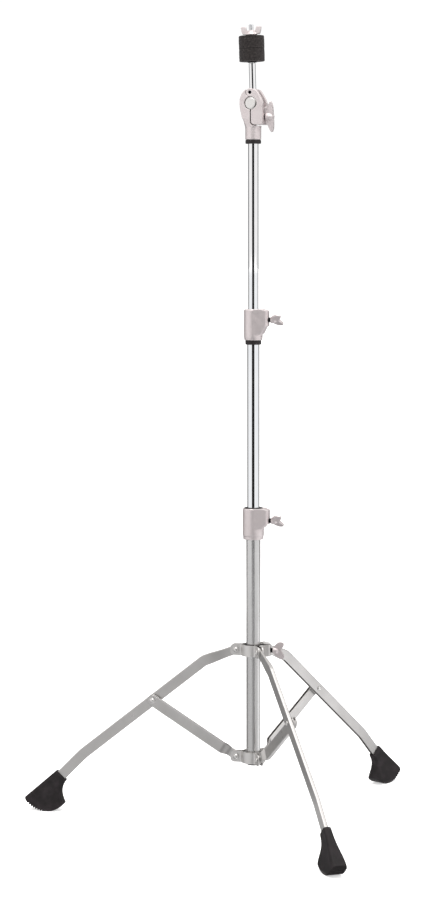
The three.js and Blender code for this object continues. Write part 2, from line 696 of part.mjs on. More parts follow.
// Tilter outlines, in its front view: across from the barrel to one side, and up or down from it
const bodyTopShares = [[0.5, 1], [0.78, 0.72], [0.96, 0.38], [1, 0]];
const bodyBackShares = [[0.96, 0.24], [0.8, 0.58], [0.66, 0.84]];
const jawFrontShares = [[1, 0], [0.9, 0.25], [0.72, 0.55], [0.42, 0.97]];

function makeTilterBody() {
  const half = tilter.depth / 2;
  const split = -tilter.splitGap / 2;
  const left = tilter.bodyLeft;
  const cheeks = stand(outline([
    [split, -tilter.shoulderDown - clearance], [split, 0], [tilter.pinAcross, tilter.bodyTop],
    ...bodyTopShares.map(([out, up]) => [-out * left, up * tilter.bodyTop]),
    ...bodyBackShares.map(([out, down]) => [-out * left, -down * tilter.shoulderDown]),
    [-tilter.socketRadius, -tilter.shoulderDown - clearance],
  ]), -half, half, tilter.edge);
  const socket = revolve([
    [0, -tilter.socketBottom], [tilter.socketRadius, -tilter.socketBottom],
    [tilter.socketRadius, -tilter.shoulderDown - tilter.splitGap], [tilter.socketRadius - tilter.splitGap,
      -tilter.shoulderDown], [0, -tilter.shoulderDown],
  ]);
  const ear = tilter.depth / 2 - tilter.earThickness - clearance;
  const ears = alongY(shaft(tilter.knuckleRadius - clearance, -ear, ear))
    .translate(tilter.pinAcross, 0, tilter.pinUp);
  const recesses = [-1, 1].map((side) => {
    const near = side * (ear + clearance / 2);
    const far = side * (half + overrun);
    const recess = shaft(
      tilter.knuckleRadius + clearance, Math.min(near, far), Math.max(near, far), roundSides);
    return alongY(recess).translate(tilter.pinAcross, 0, tilter.pinUp);
  });
  return cut(
    join(cheeks, socket, ears),
    ...recesses,
    alongY(shaft(tilter.barrelRadius + clearance, -half - overrun, half + overrun, roundSides)),
    block(-left - overrun, left, -tilter.slotWidth / 2, tilter.slotWidth / 2, 0, tilter.bodyTop + overrun),
    alongY(shaft(tilter.pinRadius + clearance, -half - overrun, half + overrun))
      .translate(tilter.pinAcross, 0, tilter.pinUp),
    alongX(shaft(bolt.radius + clearance, -tilter.boltTip - clearance, left))
      .translate(0, 0, -tilter.boltDown),
    shaft(upperTube.radius + clearance, -tilter.socketBottom - overrun,
      tilter.socketDepth + clearance - tilter.socketBottom, roundSides),
    setScrewHole(),
  );
}

function makeTilterJaw() {
  const half = tilter.depth / 2;
  const split = tilter.splitGap / 2;
  const right = tilter.jawRight;
  const top = tilter.jawTop;
  const cheeks = stand(outline([
    [split, 0], [split, -tilter.jawBottom], [right, -tilter.jawBottom],
    ...jawFrontShares.map(([out, up]) => [out * right, up * top]),
    [tilter.pinAcross, tilter.pinUp + tilter.knuckleRadius],
  ]), -half, half, tilter.edge);
  const knuckle = alongY(shaft(tilter.knuckleRadius, -half, half, roundSides))
    .translate(tilter.pinAcross, 0, tilter.pinUp);
  const ear = half - tilter.earThickness;
  return cut(
    join(cheeks, knuckle),
    alongY(shaft(tilter.knuckleRadius + clearance, -ear, ear, roundSides))
      .translate(tilter.pinAcross, 0, tilter.pinUp),
    alongY(shaft(tilter.barrelRadius + clearance, -half - overrun, half + overrun, roundSides)),
    block(-right, right + overrun, -tilter.slotWidth / 2, tilter.slotWidth / 2,
      -tilter.slotFloor, top + overrun),
    alongY(shaft(tilter.pinRadius + clearance, -half - overrun, half + overrun))
      .translate(tilter.pinAcross, 0, tilter.pinUp),
    alongX(shaft(bolt.radius + tilter.boltPlay, -right, right + overrun)).translate(0, 0, -tilter.boltDown),
  );
}

// Pin of one cheek, with a round recess in its outer end
function tilterPin(side) {
  const outer = tilter.depth / 2;
  const inner = tilter.slotWidth / 2 + clearance;
  const pin = revolve([
    [0, inner], [tilter.pinRadius, inner], [tilter.pinRadius, outer], [tilter.pinRecessRadius, outer],
    [tilter.pinRecessRadius, outer - tilter.pinRecess], [0, outer - tilter.pinRecess],
  ], smallSides);
  return alongY(pin).rotateZ(side > 0 ? 0 : Math.PI).translate(tilter.pinAcross, 0, tilter.pinUp);
}

function makeBarrel() {
  const end = tilter.depth / 2 + tilter.barrelProud;
  const edge = tilter.barrelProud;
  const drum = alongY(revolve([
    [0, -end], [tilter.barrelRadius - edge, -end], [tilter.barrelRadius, edge - end],
    [tilter.barrelRadius, end - edge], [tilter.barrelRadius - edge, end], [0, end],
  ]));
  const rodWay = shaft(
    rod.radius + clearance, -rod.tail - clearance, tilter.barrelRadius + overrun, roundSides);
  return cut(drum, rodWay.rotateY(radians(rod.lean)));
}

// The set screw that holds the tilter on the tube
function setScrewFrame(geometry) {
  const height = setScrew.above - tilter.socketBottom;
  return alongX(geometry).rotateZ(radians(setScrew.turn)).translate(0, 0, height);
}

function setScrewHole() {
  return setScrewFrame(shaft(setScrew.radius + clearance, 0, tilter.socketRadius + overrun));
}

function makeSetScrew() {
  const outer = tilter.socketRadius - setScrew.recess;
  const inner = Math.max(outer - setScrew.length, upperTube.radius + clearance);
  return setScrewFrame(revolve([
    [0, inner], [setScrew.radius, inner], [setScrew.radius, outer], [setScrew.socketRadius, outer],
    [setScrew.socketRadius, outer - setScrew.radius], [0, outer - setScrew.radius],
  ], smallSides));
}

function makeRod() {
  const tip = rod.tipUp;
  return revolve([
    [0, -rod.tail], [rod.radius, -rod.tail], [rod.radius, rod.shoulderUp],
    [rod.threadRadius, rod.shoulderUp], [rod.threadRadius, tip - rod.tipChamfer],
    [rod.threadRadius - rod.tipChamfer, tip], [0, tip],
  ], smallSides);
}

function feltRing(from) {
  const to = from + felt.thickness;
  const inner = sleevePost.radius + felt.boreGap;
  return revolve([
    [inner, from], [felt.radius - felt.edge, from], [felt.radius, from + felt.edge],
    [felt.radius, to - felt.edge], [felt.radius - felt.edge, to], [inner, to], [inner, from],
  ]);
}

// A cast wing nut: a flared base, a hub and two upright wings
function makeWingNut(from) {
  const bore = rod.threadRadius + clearance;
  const hub = revolve([
    [bore, 0], [wingNut.baseRadius, 0], [wingNut.baseRadius, wingNut.rimHeight],
    [wingNut.hubRadius, wingNut.baseHeight], [wingNut.hubTopRadius, wingNut.hubHeight],
    [bore, wingNut.hubHeight], [bore, 0],
  ], smallSides);
  const wings = [-1, 1].map((side) => {
    const points = wingNutShares.map(([out, up]) => [side * out * wingNut.halfSpan, up * wingNut.wingTop]);
    const half = wingNut.thickness / 2;
    return stand(outline(side > 0 ? points : points.reverse()), -half, half, wingNut.edge);
  });
  const hole = shaft(bore, -overrun, wingNut.wingTop + overrun);
  return cut(join(hub, ...wings), hole).rotateZ(radians(wingNut.turn)).translate(0, 0, from);
}
const wingNutShares = [
  [0.28, 0.08], [0.76, 0.1], [0.88, 0.4], [1, 0.9], [0.93, 1], [0.52, 0.98], [0.44, 0.86], [0.28, 0.5],
];

// Assembly: the mast first, then what it carries
const mast = new THREE.Group();
standModel.add(mast);

const lowerBore = lowerTube.radius - tubeWall;
place('lower_tube', pipe(lowerTube.radius, lowerBore, tubeBottom, lowerTubeTop), satinTube, mast);
const plugRadius = lowerBore - clearance;
place('tube_end_plug', revolve([
  [endPlug.innerRadius, tubeBottom - clearance - endPlug.flange],
  [lowerBore, tubeBottom - clearance - endPlug.flange],
  [lowerTube.radius, tubeBottom - clearance - endPlug.flange / 2],
  [lowerTube.radius, tubeBottom - clearance], [plugRadius, tubeBottom - clearance],
  [plugRadius, tubeBottom + endPlug.spigot],
  [endPlug.innerRadius, tubeBottom + endPlug.spigot],
  [endPlug.innerRadius, tubeBottom - clearance - endPlug.flange],
]), rubber, mast);

for (const [hub, pivotHeight] of [['lower_hub', lowerPivot], ['leg_hub', upperPivot]]) {
  const half = sleeve.height / 2;
  const bore = lowerTube.radius + clearance;
  const ring = pipe(sleeve.outerRadius, bore, pivotHeight - half, pivotHeight + half);
  const boltWay = alongX(shaft(bolt.radius + clearance, 0, sleeve.outerRadius + overrun))
    .rotateZ(radians(firstLegAzimuth + legSpacing / 2)).translate(0, 0, pivotHeight);
  const isClamped = hub === 'leg_hub';
  place(`${hub}_sleeve`, isClamped ? cut(ring, boltWay) : ring, isClamped ? nylon : pressedSteel, mast);
  for (let i = 0; i < legCount; i++) {
    const azimuth = firstLegAzimuth + i * legSpacing;
    const strap = hubStrip(pivotHeight, isClamped && i === 0);
    const pin = hubRivet().translate(pivotRadius, 0, pivotHeight);
    strap.rotateZ(radians(azimuth + legSpacing / 2));
    place(`${hub}_strip_${stripNames[i]}`, strap, pressedSteel, mast);
    place(`${hub}_rivet_${legNames[i]}`, pin.rotateZ(radians(azimuth)), brightSteel, mast);
  }
}

for (let i = 0; i < legCount; i++) {
  const side = new THREE.Group();
  side.rotation.z = radians(firstLegAzimuth + i * legSpacing);
  mast.add(side);
  place(`leg_${legNames[i]}`, makeLeg(), pressedSteel, side);
  const rivetAt = [legRivetPlace.x, 0, legRivetPlace.y];
  place(`leg_rivet_${legNames[i]}`, legRivet().translate(...rivetAt), brightSteel, side);
  place(`foot_${legNames[i]}`, makeFoot(), rubber, side);
  place(`brace_${legNames[i]}`, makeBrace(), pressedSteel, side);
  place(`brace_rivet_${legNames[i]}`, braceRivet().translate(...rivetAt), brightSteel, side);
}

// A wing bolt in its own group: turned about its axis, pointing along the given azimuth
function placeWingBolt(name, size, faceRadius, tubeRadius, azimuth, height, turn) {
  const holder = new THREE.Group();
  holder.rotation.z = radians(azimuth);
  holder.position.z = height;
  mast.add(holder);
  const start = faceRadius + size.faceGap;
  const shank = start - tubeRadius - bolt.tipGap;
  const screw = place(name, wingBolt(size, shank), castMetal, holder);
  screw.position.x = start;
  screw.rotation.x = radians(turn);
}

const hubBoltAzimuth = firstLegAzimuth + legSpacing / 2;
const nutOuter = pocket.reach - strip.thickness - clearance;
const nut = cut(
  block(nutOuter - clampNut.thickness, nutOuter, -clampNut.width / 2, clampNut.width / 2,
    -clampNut.width / 2, clampNut.width / 2),
  alongX(shaft(bolt.radius + clearance, 0, pocket.reach + overrun)),
).translate(0, 0, upperPivot);
place('hub_clamp_nut', nut, brightSteel, mast).rotation.z = radians(hubBoltAzimuth);
placeWingBolt('hub_wing_bolt', smallWing, pocket.reach, lowerTube.radius, hubBoltAzimuth,
  upperPivot, hubWingTurn);

// Lower collar on the lower tube, with the guide ring of the middle tube in its mouth
const bushSeat = shaft(lowerBush.outerRadius + clearance, lowerCollar.height - lowerBush.depth - clearance,
  lowerCollar.height + overrun, roundSides);
const lowerCollarMesh = place('lower_collar',
  collar(lowerCollar, lowerTube.radius, middleTube.radius, [bushSeat]), castMetal, mast);
lowerCollarMesh.position.z = lowerCollarBottom;
lowerCollarMesh.rotation.z = radians(lowerCollar.azimuth);
place('lower_collar_bush', pipe(lowerBush.outerRadius, middleTube.radius + clearance,
  lowerCollarTop - lowerBush.depth, lowerCollarTop + lowerBush.proud), nylon, mast);
placeWingBolt('lower_wing_bolt', smallWing, lowerCollar.bossReach, middleTube.radius, lowerCollar.azimuth,
  lowerCollarBottom + lowerCollar.boltHeight, lowerWingTurn);

// A plug in the lower end of a sliding tube, running inside the tube below
function tubePlug(tube, tubeTop, outerTube) {
  const bottom = tubeTop - tube.length;
  const flangeRadius = outerTube.radius - tubeWall - slidePlug.runningGap;
  const spigotRadius = tube.radius - tubeWall - clearance;
  return revolve([
    [slidePlug.innerRadius, bottom - clearance - slidePlug.flange],
    [flangeRadius, bottom - clearance - slidePlug.flange],
    [flangeRadius, bottom - clearance], [spigotRadius, bottom - clearance],
    [spigotRadius, bottom + slidePlug.spigot], [slidePlug.innerRadius, bottom + slidePlug.spigot],
    [slidePlug.innerRadius, bottom - clearance - slidePlug.flange],
  ], smallSides);
}

place('middle_tube_plug', tubePlug(middleTube, middleTubeTop, lowerTube), nylon, mast);
const middleBottom = middleTubeTop - middleTube.length;
place('middle_tube', pipe(middleTube.radius, middleTube.radius - tubeWall, middleBottom, middleTubeTop),
  chromedTube, mast);

// Upper collar on the middle tube; its nylon stop ring shows below it
const bushPocket = shaft(middleTube.radius + clearance + upperBush.sleeveWall + clearance, -overrun,
  upperBush.sleeveHeight + clearance, roundSides);
const drain = alongX(
  shaft(drainHole.radius, upperCollar.radius - drainHole.depth, upperCollar.radius + overrun));
drain.rotateZ(radians(drainHole.turn)).translate(0, 0, drainHole.height);
const upperCollarMesh = place('upper_collar',
  collar(upperCollar, middleTube.radius, upperTube.radius, [bushPocket, drain]), castMetal, mast);
upperCollarMesh.position.z = upperCollarBottom;
upperCollarMesh.rotation.z = radians(upperCollar.azimuth);
const bushInner = middleTube.radius + clearance;
place('upper_collar_bush', revolve([
  [bushInner, upperCollarBottom - clearance - upperBush.flangeHeight],
  [upperBush.flangeRadius, upperCollarBottom - clearance - upperBush.flangeHeight],
  [upperBush.flangeRadius, upperCollarBottom - clearance],
  [bushInner + upperBush.sleeveWall, upperCollarBottom - clearance],
  [bushInner + upperBush.sleeveWall, upperCollarBottom + upperBush.sleeveHeight],
  [bushInner, upperCollarBottom + upperBush.sleeveHeight],
  [bushInner, upperCollarBottom - clearance - upperBush.flangeHeight],
]), nylon, mast);
placeWingBolt('upper_wing_bolt', smallWing, upperCollar.bossReach, upperTube.radius, upperCollar.azimuth,
  upperCollarBottom + upperCollar.boltHeight, upperWingTurn);

place('upper_tube_plug', tubePlug(upperTube, upperTubeTop, middleTube), nylon, mast);
place('upper_tube', pipe(upperTube.radius, upperTube.radius - tubeWall, upperTubeTop - upperTube.length,
  upperTubeTop), chromedTube, mast);
const socketBottom = barrelHeight - tilter.socketBottom;
place('stop_ring', pipe(stopRing.outerRadius, upperTube.radius + clearance,
  socketBottom - clearance - stopRing.height, socketBottom - clearance), nylon, mast);

// Tilter, turned to face a little to one side
const head = new THREE.Group();
head.position.z = barrelHeight;
head.rotation.z = radians(tilter.azimuth);
mast.add(head);
place('tilter_body', makeTilterBody(), castMetal, head);
place('tilter_jaw', makeTilterJaw(), castMetal, head);
place('tilter_pin_front', tilterPin(-1), brightSteel, head);
place('tilter_pin_rear', tilterPin(1), brightSteel, head);
place('tilter_barrel', makeBarrel(), brightSteel, head);
place('tilter_set_screw', makeSetScrew(), brightSteel, head);
placeWingBolt('tilter_wing_bolt', largeWing, tilter.jawRight, -tilter.boltTip - bolt.tipGap, tilter.azimuth,
  barrelHeight - tilter.boltDown, tilterWingTurn);

// Cymbal post, leaning a little in the tilter
const post = new THREE.Group();
post.rotation.y = radians(rod.lean);
head.add(post);
place('cymbal_rod', makeRod(), chromedTube, post);
const flangeBottom = rod.shoulderUp + clearance;
const flangeTop = flangeBottom + sleevePost.flangeHeight;
const sleeveBore = rod.threadRadius + clearance;
place('cymbal_sleeve', revolve([
  [sleeveBore, flangeBottom], [sleevePost.flangeRadius, flangeBottom], [sleevePost.flangeRadius, flangeTop],
  [sleevePost.radius, flangeTop], [sleevePost.radius, flangeTop + sleevePost.height],
  [sleeveBore, flangeTop + sleevePost.height], [sleeveBore, flangeBottom],
], smallSides), nylon, post);
const lowerFeltBottom = flangeTop + clearance;
const upperFeltBottom = lowerFeltBottom + felt.thickness + felt.gap;
place('lower_felt', feltRing(lowerFeltBottom), feltCloth, post);
place('upper_felt', feltRing(upperFeltBottom), feltCloth, post);
const nutBottom = Math.max(upperFeltBottom + felt.thickness, flangeTop + sleevePost.height) + clearance;
place('wing_nut', makeWingNut(nutBottom), castMetal, post);

// The origin lies under the middle of the whole stand, on the floor
const bounds = new THREE.Box3().setFromObject(standModel, true);
mast.position.set(-(bounds.min.x + bounds.max.x) / 2, -(bounds.min.y + bounds.max.y) / 2, 0);

export default standModel;
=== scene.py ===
# %% [markdown]
# # A straight cymbal stand
# The CAD model of the stand is the frame of this scene: it says where every tube, casting and foot is, and
# how the pieces move. Each piece is made again here as fine geometry on the same place, gets the finish of
# the real one, and rides on the same body, so it still moves with its joint.

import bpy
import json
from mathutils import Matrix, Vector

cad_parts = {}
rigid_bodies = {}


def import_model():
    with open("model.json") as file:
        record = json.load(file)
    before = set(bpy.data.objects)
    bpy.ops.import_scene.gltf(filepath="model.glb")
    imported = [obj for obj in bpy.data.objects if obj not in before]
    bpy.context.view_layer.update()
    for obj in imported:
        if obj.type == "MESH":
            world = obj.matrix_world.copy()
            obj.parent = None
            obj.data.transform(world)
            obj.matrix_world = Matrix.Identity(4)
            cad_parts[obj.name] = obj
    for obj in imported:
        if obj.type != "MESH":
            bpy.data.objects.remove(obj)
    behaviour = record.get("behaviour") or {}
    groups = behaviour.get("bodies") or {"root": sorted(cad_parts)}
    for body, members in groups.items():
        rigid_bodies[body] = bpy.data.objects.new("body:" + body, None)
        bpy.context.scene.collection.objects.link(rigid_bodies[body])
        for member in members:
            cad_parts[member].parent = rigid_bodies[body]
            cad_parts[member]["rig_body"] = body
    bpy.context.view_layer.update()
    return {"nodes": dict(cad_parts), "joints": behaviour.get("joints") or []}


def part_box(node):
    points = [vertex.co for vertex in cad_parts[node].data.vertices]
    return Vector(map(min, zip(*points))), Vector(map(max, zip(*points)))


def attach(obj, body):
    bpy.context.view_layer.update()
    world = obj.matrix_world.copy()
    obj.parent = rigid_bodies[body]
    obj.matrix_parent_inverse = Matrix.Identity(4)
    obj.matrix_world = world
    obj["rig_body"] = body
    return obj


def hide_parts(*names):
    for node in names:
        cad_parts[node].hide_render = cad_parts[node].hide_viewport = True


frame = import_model()

# %% [markdown]
# ## Places
# Blender counts in metres and a stand maker in millimetres. So a piece is drawn in millimetres in axes of
# its own, a leg in its upright plane or a collar about its tube, and one matrix carries it to its place.
# The places come from the joints and boxes of the frame, so that nothing has to be fitted by eye.

# %% Axes of the stand
import json
import math
import bmesh
import bpy
from mathutils import Matrix, Vector, noise

MM = 0.001
joints = {joint["name"]: joint for joint in frame["joints"]}


def spot(joint):
    return Vector(joints[joint]["pos_m"])


def heading(direction):
    """Degrees from +X, seen from above"""
    return math.degrees(math.atan2(direction[1], direction[0]))


def axes(origin, turn=0.0, lean=0.0):
    """From a piece's own millimetres to the stand's metres"""
    turned = Matrix.Rotation(math.radians(turn), 4, "Z") @ Matrix.Rotation(math.radians(lean), 4, "Y")
    return Matrix.Translation(origin) @ turned @ Matrix.Scale(MM, 4)


mast = Vector((spot("middle_tube_turn").x, spot("middle_tube_turn").y, 0))
mast_axes = axes(mast)


def up_mast(height):
    """The point on the mast's axis at a height, in metres"""
    return mast + Vector((0, 0, height))


print("mast stands at, mm:", round(mast.x / MM, 2), round(mast.y / MM, 2))

# %% [markdown]
# ## Drawing lines
# Most pieces start as a line: the profile of a turned part, the outline of a wing, the centre line of a
# bent strip. Real corners are never sharp, so one helper turns corners into arcs, and another draws one
# smooth curve through points, for the shapes that a pattern maker carved freely.

# %% Arcs at the corners
def rounded(corners, radius, steps=4, closed=True):
    """Corners as (x, y), or (x, y, own radius), with an arc in place of each"""
    line = []
    count = len(corners)
    for i, corner in enumerate(corners):
        here = Vector(corner[:2])
        own = corner[2] if len(corner) == 3 else radius
        is_end = not closed and i in (0, count - 1)
        back = Vector(corners[i - 1][:2]) - here
        ahead = Vector(corners[(i + 1) % count][:2]) - here
        if own <= 0 or is_end or min(back.length, ahead.length) < 1e-6:
            line.append(tuple(here))
            continue
        half = back.angle(ahead) / 2
        if half > math.radians(88):
            line.append(tuple(here))
            continue
        cut_back = min(own / math.tan(half), 0.49 * back.length, 0.49 * ahead.length)
        bow = cut_back * math.tan(half)
        centre = here + (back.normalized() + ahead.normalized()).normalized() * (bow / math.sin(half))
        first = here + back.normalized() * cut_back - centre
        last = here + ahead.normalized() * cut_back - centre
        start = math.atan2(first.y, first.x)
        sweep = (math.atan2(last.y, last.x) - start + math.pi) % (2 * math.pi) - math.pi
        for step in range(steps + 1):
            angle = start + sweep * step / steps
            line.append((centre.x + bow * math.cos(angle), centre.y + bow * math.sin(angle)))
    return line


print("a square with round corners has", len(rounded([(0, 0), (9, 0), (9, 9), (0, 9)], 2)), "points")

# %% One curve through points
def flowing(points, steps=6):
    """A closed smooth line through all points"""
    count = len(points)
    line = []
    for i in range(count):
        a, b, c, d = (Vector(points[(i + k - 1) % count]) for k in range(4))
        for step in range(steps):
            t = step / steps
            bend = 2 * a - 5 * b + 4 * c - d
            twist = 3 * b - a - 3 * c + d
            line.append(tuple(0.5 * (2 * b + (c - a) * t + bend * t * t + twist * t ** 3)))
    return line


print("a flowing line through 4 points has", len(flowing([(0, 0), (9, 0), (9, 9), (0, 9)])), "points")

# %% [markdown]
# ## From lines to bodies
# Turned parts are revolved, bars and strips are lofted through their cross-sections, and plates are
# outlines made thick. All of them are closed bodies, so that they can be joined and bored like real metal.

# %% Revolve, loft and plate
def revolve(profile, sides=96, ring=False):
    """A profile of (radius, height) turned about Z; a ring's profile is a closed loop"""
    bm = bmesh.new()
    rows = []
    for radius, height in profile:
        around = [2 * math.pi * k / sides for k in range(sides if radius > 1e-6 else 1)]
        rows.append([bm.verts.new((radius * math.cos(a), radius * math.sin(a), height)) for a in around])
    pairs = list(zip(rows, rows[1:])) + ([(rows[-1], rows[0])] if ring else [])
    for low, high in pairs:
        for k in range(sides):
            corners = [row[i % len(row)] for row, i in ((low, k), (low, k + 1), (high, k + 1), (high, k))]
            corners = list(dict.fromkeys(corners))
            if len(corners) > 2:
                bm.faces.new(corners)
    bmesh.ops.recalc_face_normals(bm, faces=bm.faces)
    return bm


def loft(rings, strips=False):
    """A closed body through rings of points; strips closes each end by faces across the ring"""
    bm = bmesh.new()
    rows = [[bm.verts.new(point) for point in ring] for ring in rings]
    count = len(rows[0])
    for low, high in zip(rows, rows[1:]):
        for k in range(count):
            bm.faces.new((low[k], low[(k + 1) % count], high[(k + 1) % count], high[k]))
    for row in (rows[0], rows[-1]):
        if strips:
            for k in range(count // 2 - 1):
                bm.faces.new((row[k], row[k + 1], row[count - 2 - k], row[count - 1 - k]))
        else:
            bm.faces.new(row)
    bmesh.ops.recalc_face_normals(bm, faces=bm.faces)
    return bm


def plate(outline, near, far):
    """An outline in the upright XZ plane, made thick along Y"""
    return loft([[(x, y, z) for x, z in outline] for y in (near, far)])


def turned_ring(corners, radius, steps=4):
    """A closed profile with round corners, turned to a ring"""
    return revolve(rounded(corners, radius, steps), ring=True)


def turned_solid(corners, radius=0, sides=96, steps=4):
    """A profile from axis to axis with round corners, turned to a solid"""
    return revolve(rounded(corners, radius, steps, closed=False), sides)


def shaft(radius, start, end, sides=64):
    return revolve([(0, start), (radius, start), (radius, end), (0, end)], sides)


print("a revolved ring has", len(revolve([(1, 0), (2, 0), (2, 1), (1, 1)], ring=True).faces), "faces")

# %% [markdown]
# ## Working a body further
# Blender's modifiers are the workshop: Boolean joins and bores, Remesh lays one even skin over a fused
# casting, and Smooth rounds its edges as the mould's parting and the tumbling drum do. A modifier needs an
# object, so the body becomes one for a moment, and its evaluated mesh is taken back.

# %% Modifiers as tools
def as_object(bm, name="work"):
    mesh = bpy.data.meshes.new(name)
    bm.to_mesh(mesh)
    thing = bpy.data.objects.new(name, mesh)
    bpy.context.scene.collection.objects.link(thing)
    return thing


def worked(bm, *modifiers):
    """The body after modifiers, each a kind and its settings; a body given as a setting is the tool"""
    blank = as_object(bm)
    used = [blank]
    for kind, settings in modifiers:
        modifier = blank.modifiers.new(kind, kind)
        for name, value in settings.items():
            if isinstance(value, bmesh.types.BMesh):
                value = as_object(value)
                used.append(value)
            setattr(modifier, name, value)
    result = bmesh.new()
    result.from_object(blank, bpy.context.evaluated_depsgraph_get())
    for thing in used:
        mesh = thing.data
        bpy.data.objects.remove(thing)
        bpy.data.meshes.remove(mesh)
    return result


def boolean(operation, first, others):
    steps = [("BOOLEAN", {"operation": operation, "solver": "EXACT", "object": other}) for other in others]
    return worked(first, *steps)


def joined(first, *others):
    return boolean("UNION", first, others)


def bored(first, *others):
    return boolean("DIFFERENCE", first, others)


def shared(first, other):
    return boolean("INTERSECT", first, [other])


def cast(body, grain=0.5, soften=5, keep=0.5):
    """One even skin over a body, with softened edges, as a casting has"""
    return worked(
        body,
        ("REMESH", {"mode": "VOXEL", "voxel_size": grain}),
        ("SMOOTH", {"factor": 0.5, "iterations": soften}),
        ("DECIMATE", {"ratio": keep}),
    )


print("a cast test knob has", len(cast(shaft(6, 0, 9)).faces), "faces")

# %% [markdown]
# ## Finishes
# Ten finishes cover the stand. Each starts from the real material and how its surface was made. Colours are
# written as hex values, as a colour picker gives them, and turned to the linear values that light is
# counted in. A pattern's scale is worked out from its real size: a texture of scale 1 has features about
# one metre across here, so features of s millimetres need a scale of 1000 / s.

# %% Colours, scales and nodes
def linear(code):
    """An sRGB hex colour as linear red, green, blue and alpha"""
    parts = [int(code[i:i + 2], 16) / 255 for i in (1, 3, 5)]
    return [c / 12.92 if c <= 0.04045 else ((c + 0.055) / 1.055) ** 2.4 for c in parts] + [1.0]


def scale_for(size_mm):
    return 1 / (size_mm * MM)


def add(tree, kind, inputs={}, **settings):
    """Adds one node, sets its properties, and fills or links its sockets"""
    node = tree.nodes.new("ShaderNode" + kind)
    for name, value in settings.items():
        setattr(node, name, value)
    for socket, value in inputs.items():
        if isinstance(value, bpy.types.NodeSocket):
            tree.links.new(value, node.inputs[socket])
        else:
            node.inputs[socket].default_value = value
    return node


def blank_finish(name):
    finish = bpy.data.materials.new(name)
    finish.use_nodes = True
    finish.node_tree.nodes.clear()
    return finish, finish.node_tree


print("the colour of plated zinc in linear light:", [round(c, 3) for c in linear("#c4bfc0")])

# %% What the finishes share
def pattern(tree, size_mm, detail, roughness=0.5, across_share=1.0):
    """Noise with features of a real size; a small share draws them out round a tube"""
    place = add(tree, "TexCoord").outputs["Object"]
    if across_share < 1:
        place = add(tree, "Mapping", {"Vector": place, "Scale": (across_share, across_share, 1.0)}).outputs[0]
    sockets = {"Vector": place, "Scale": scale_for(size_mm), "Detail": detail, "Roughness": roughness}
    return add(tree, "TexNoise", sockets).outputs["Fac"]


def spread(tree, value, low, high, start, end):
    """Carries the range from low to high over to the range from start to end"""
    return add(tree, "MapRange", {"Value": value, 1: low, 2: high, 3: start, 4: end}).outputs[0]


def mixed(tree, share, first, second):
    """From the first colour to the second, a hex code; the first may come from another node"""
    first = linear(first) if isinstance(first, str) else first
    return add(tree, "Mix", {0: share, 6: first, 7: linear(second)}, data_type="RGBA").outputs[2]


def rubbed(tree, shade, low, high, most, bright):
    """The colour of edges that stand out, rubbed towards a brighter one"""
    edge = add(tree, "NewGeometry").outputs["Pointiness"]
    return mixed(tree, spread(tree, edge, low, high, 0.0, most), shade, bright)


def relief(tree, height, strength, depth_mm):
    return add(tree, "Bump", {"Height": height, "Strength": strength, "Distance": depth_mm * MM}).outputs[0]


def closed_with(finish, sockets):
    """The finish with its shader and output"""
    shader = add(finish.node_tree, "BsdfPrincipled", sockets)
    add(finish.node_tree, "OutputMaterial", {"Surface": shader.outputs[0]})
    print(finish.name, "has", len(finish.node_tree.nodes), "nodes")
    return finish


print("six helpers for the finishes")

# %% [markdown]
# ### Mirror chrome on drawn tube
# The two upper tubes and the rod are drawn steel, polished and plated with nickel and chromium. The eye
# sees a mirror: almost no grain, a slight unevenness from the polishing belt that runs round the tube, and
# here and there a cloudy patch where hands and clamps have slid. Polishing lines are about 0.05 mm. They
# run round the tube and are drawn 0.4 mm wide, because finer ones can't show.

# %% Mirror chrome
def mirror_chrome():
    finish, tree = blank_finish("mirror_chrome")
    cloud = pattern(tree, 22, 3)
    lines = pattern(tree, 0.4, 2, across_share=0.06)
    return closed_with(finish, {
        "Base Color": mixed(tree, cloud, "#f2f3f4", "#e8eaec"), "Metallic": 1.0,
        "Roughness": spread(tree, cloud, 0.45, 0.75, 0.02, 0.045),
        "Normal": relief(tree, lines, 0.08, 0.004)})


chrome = mirror_chrome()

# %% [markdown]
# ### Satin plating on the lower tube
# The lowest tube has the same steel with a duller plate. It was brushed round before plating and not buffed
# after, so it gives back soft stripes of light and no images. Brushing grit of 240 leaves lines of about
# 0.06 mm; they are drawn 0.5 mm.

# %% Satin plated tube
def satin_plate():
    finish, tree = blank_finish("satin_plated_tube")
    cloud = pattern(tree, 30, 4)
    lines = pattern(tree, 0.5, 3, across_share=0.05)
    return closed_with(finish, {
        "Base Color": mixed(tree, cloud, "#d6d5d4", "#c9c8c7"), "Metallic": 1.0,
        "Roughness": spread(tree, cloud, 0.3, 0.7, 0.21, 0.29), "Normal": relief(tree, lines, 0.2, 0.01)})


satin = satin_plate()

# %% [markdown]
# ### Satin plate on cast zinc
# Collars, tilter, wing bolts and wing nut are pressure-cast zinc, tumbled and plated with a pearl nickel
# that looks slightly pink beside the chrome. The skin keeps the casting's orange peel, waves of 1 to 2 mm,
# and is brighter on worn edges. The orange peel is drawn at 1.6 mm.

# %% Satin cast zinc
def pearl_zinc():
    finish, tree = blank_finish("satin_plated_zinc")
    cloud = pattern(tree, 9, 4)
    peel = pattern(tree, 1.6, 3)
    shade = mixed(tree, cloud, "#e8e0e0", "#d9d0d0")
    return closed_with(finish, {
        "Base Color": rubbed(tree, shade, 0.5, 0.56, 0.6, "#f0ebea"), "Metallic": 1.0,
        "Roughness": spread(tree, cloud, 0.3, 0.7, 0.46, 0.56), "Normal": relief(tree, peel, 0.35, 0.08)})


zinc = pearl_zinc()

